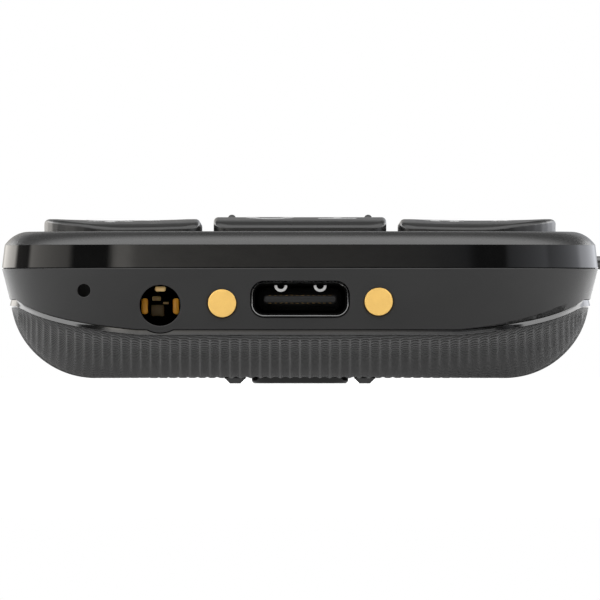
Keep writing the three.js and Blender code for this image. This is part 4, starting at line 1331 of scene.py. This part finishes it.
# ------------------------------------------------------------------ screen, camera and inner pieces
def window_finish():
    """Cover glass over a display: a printed black border, and the panel a shade lighter inside it."""
    finish = Finish("window_glass", 0.04, ior=1.52, coat=0.5)
    split = finish.axes(finish.place)
    half_width = 18.6
    middle, half_length = (window_low.y + window_high.y) / 2, window_high.y - window_low.y - 26.4
    within = []
    for axis, centre, reach in (("X", 0.0, half_width), ("Y", middle, half_length)):
        offset = finish.math("ABSOLUTE", finish.math("SUBTRACT", split[axis], centre * MM))
        within.append(finish.math("LESS_THAN", offset, reach * MM))
    inside = finish.math("MULTIPLY", *within)
    finish.paint(inside, [(0.0, srgb(5)), (1.0, srgb(24, (0.95, 1.0, 1.1)))])
    finish.bump(finish.noise(5.0, 1.0), 0.002)
    return finish.material


def rect_shape(low, high, radius, steps=10):
    """Gives the outline between two corners of a CAD box, once it is told how much to grow it."""
    return lambda grow: rounded_outline(low.x - grow, high.x + grow, low.y - grow, high.y + grow,
                                        max(radius + grow, 0.02), steps)


def screen():
    shape = rect_shape(window_low, window_high, 2.7)
    z0, z1 = window_low.z, window_high.z
    piece = layered("display_window_fine", shape, [
        (0.0, z0), (0.0, z1 - 0.25), (0.04, z1 - 0.12), (0.12, z1 - 0.04), (0.25, z1)])
    settle(piece, "housing", "dark_glass", window_finish(), "display_window", degrees=50)

    low, high = ear_low, ear_high
    piece = layered("earpiece_mesh_fine", rect_shape(low, high, 0.39), [(0.0, low.z), (0.0, high.z)])
    pores = []
    for i in range(17):
        for row in (-1, 0, 1):
            x = (i - 8 + (row % 2) / 2) * 0.5
            y = (low.y + high.y) / 2 + row * 0.25
            pores.append(prism("cut", circle_outline(x, y, 0.09, 8), low.z - 1, high.z + 1))
    boolean(piece, pores)
    settle(piece, "housing", "steel", STEEL, "earpiece_mesh")


def camera_pieces():
    low, high = surround_low, surround_high
    shape = rect_shape(low, high, 2.0)
    sections = []
    fillet = 0.3
    for turn in quarter_turns(6):
        sections.append((fillet * (1 - math.sin(turn)), fillet * (1 - math.cos(turn))))
    sections.append((0.0, high.z))
    piece = layered("camera_surround_fine", shape, sections)

    def stepped(x, y, steps):
        return loft("cut", [at_height(circle_outline(x, y, r, 72), z) for r, z in steps])

    cuts = [stepped(0, LENS_Y, [(3.45, -1), (3.45, 0.0), (3.2, 0.2), (3.2, 1.0), (2.7, 1.0), (2.7, 4.0)])]
    cuts.append(stepped(0, FLASH_Y, [(1.65, -1), (1.65, 0.0), (1.5, 0.12), (1.5, 1.2)]))
    boolean(piece, cuts)
    settle(piece, "housing", "gloss_plastic", RIM_GLOSS, "camera_surround", degrees=40)

    low, high = box_mm("camera_lens_window")
    glass = layered("camera_lens_window_fine", circle(0, LENS_Y, 2.9, 72), [
        (0.12, low.z), (0.03, low.z + 0.04), (0.0, low.z + 0.1), (0.0, high.z)])
    settle(glass, "housing", "dark_glass", DARK_GLASS, "camera_lens_window", degrees=50)

    low, high = box_mm("flash_lens")
    flash = layered("flash_lens_fine", circle(0, FLASH_Y, 1.25), [
        (1.15, low.z + 0.02), (0.9, low.z), (0.5, low.z + 0.02), (0.2, low.z + 0.08), (0.0, low.z + 0.2),
        (0.0, high.z)])
    settle(flash, "housing", "dark_glass", FLASH, "flash_lens", degrees=50)


def battery():
    low, high = box_mm("battery")
    shape = rect_shape(low, high, 1.2)
    piece = layered("battery_fine", shape, [
        (0.4, low.z), (0.12, low.z + 0.08), (0.0, low.z + 0.35), (0.0, high.z - 0.35), (0.12, high.z - 0.08),
        (0.4, high.z)])
    settle(piece, "battery", "cell_wrap", CELL, "battery", degrees=50)
    x0, x1, y0, y1 = low.x + 3, high.x - 3, low.y + 6, high.y - 8
    label = prism("battery_label", rounded_outline(x0, x1, y0, y1, 1.0), low.z - 0.04, low.z + 0.1)
    settle(label, "battery", "cell_wrap", LABEL)
    for i in (-1, 0, 1):
        x = i * 3.0
        pad = block("battery_contact", x - 0.8, x + 0.8, high.y - 0.12, high.y + 0.03, 4.2, 5.8)
        bevel_edges(pad, 0.02)
        settle(pad, "battery", "gold_plate", GOLD)


def finish_inner_nodes():
    """CAD nodes that stay as they are: their finishes, and rounded edges where they show."""
    finishes = {
        BLACK: ["camera_module", "loudspeaker", "battery_connector", "earpiece_receiver"],
        STEEL: ["volume_switch", "shield_can", "sim_holder", "memory_card_holder", "vibration_motor",
                "microphone", *SCREWS],
        RUBBER: ["keypad_mat", "microphone_seal"],
        BOARD: ["main_board"],
        DARK_GLASS: ["display_panel"],
    }
    for material, names in finishes.items():
        for name in names:
            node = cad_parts[name]
            give_finishes(node, material)
            add_bevel(node, 0.08)


# ------------------------------------------------------------------ assembly
gloss_ring()
front_housing()
middle_housing()
back_cover()
figure_keys()
command_keys()
volume_rocker()
usb_socket()
audio_socket()
contacts()
screen()
camera_pieces()
battery()
finish_inner_nodes()
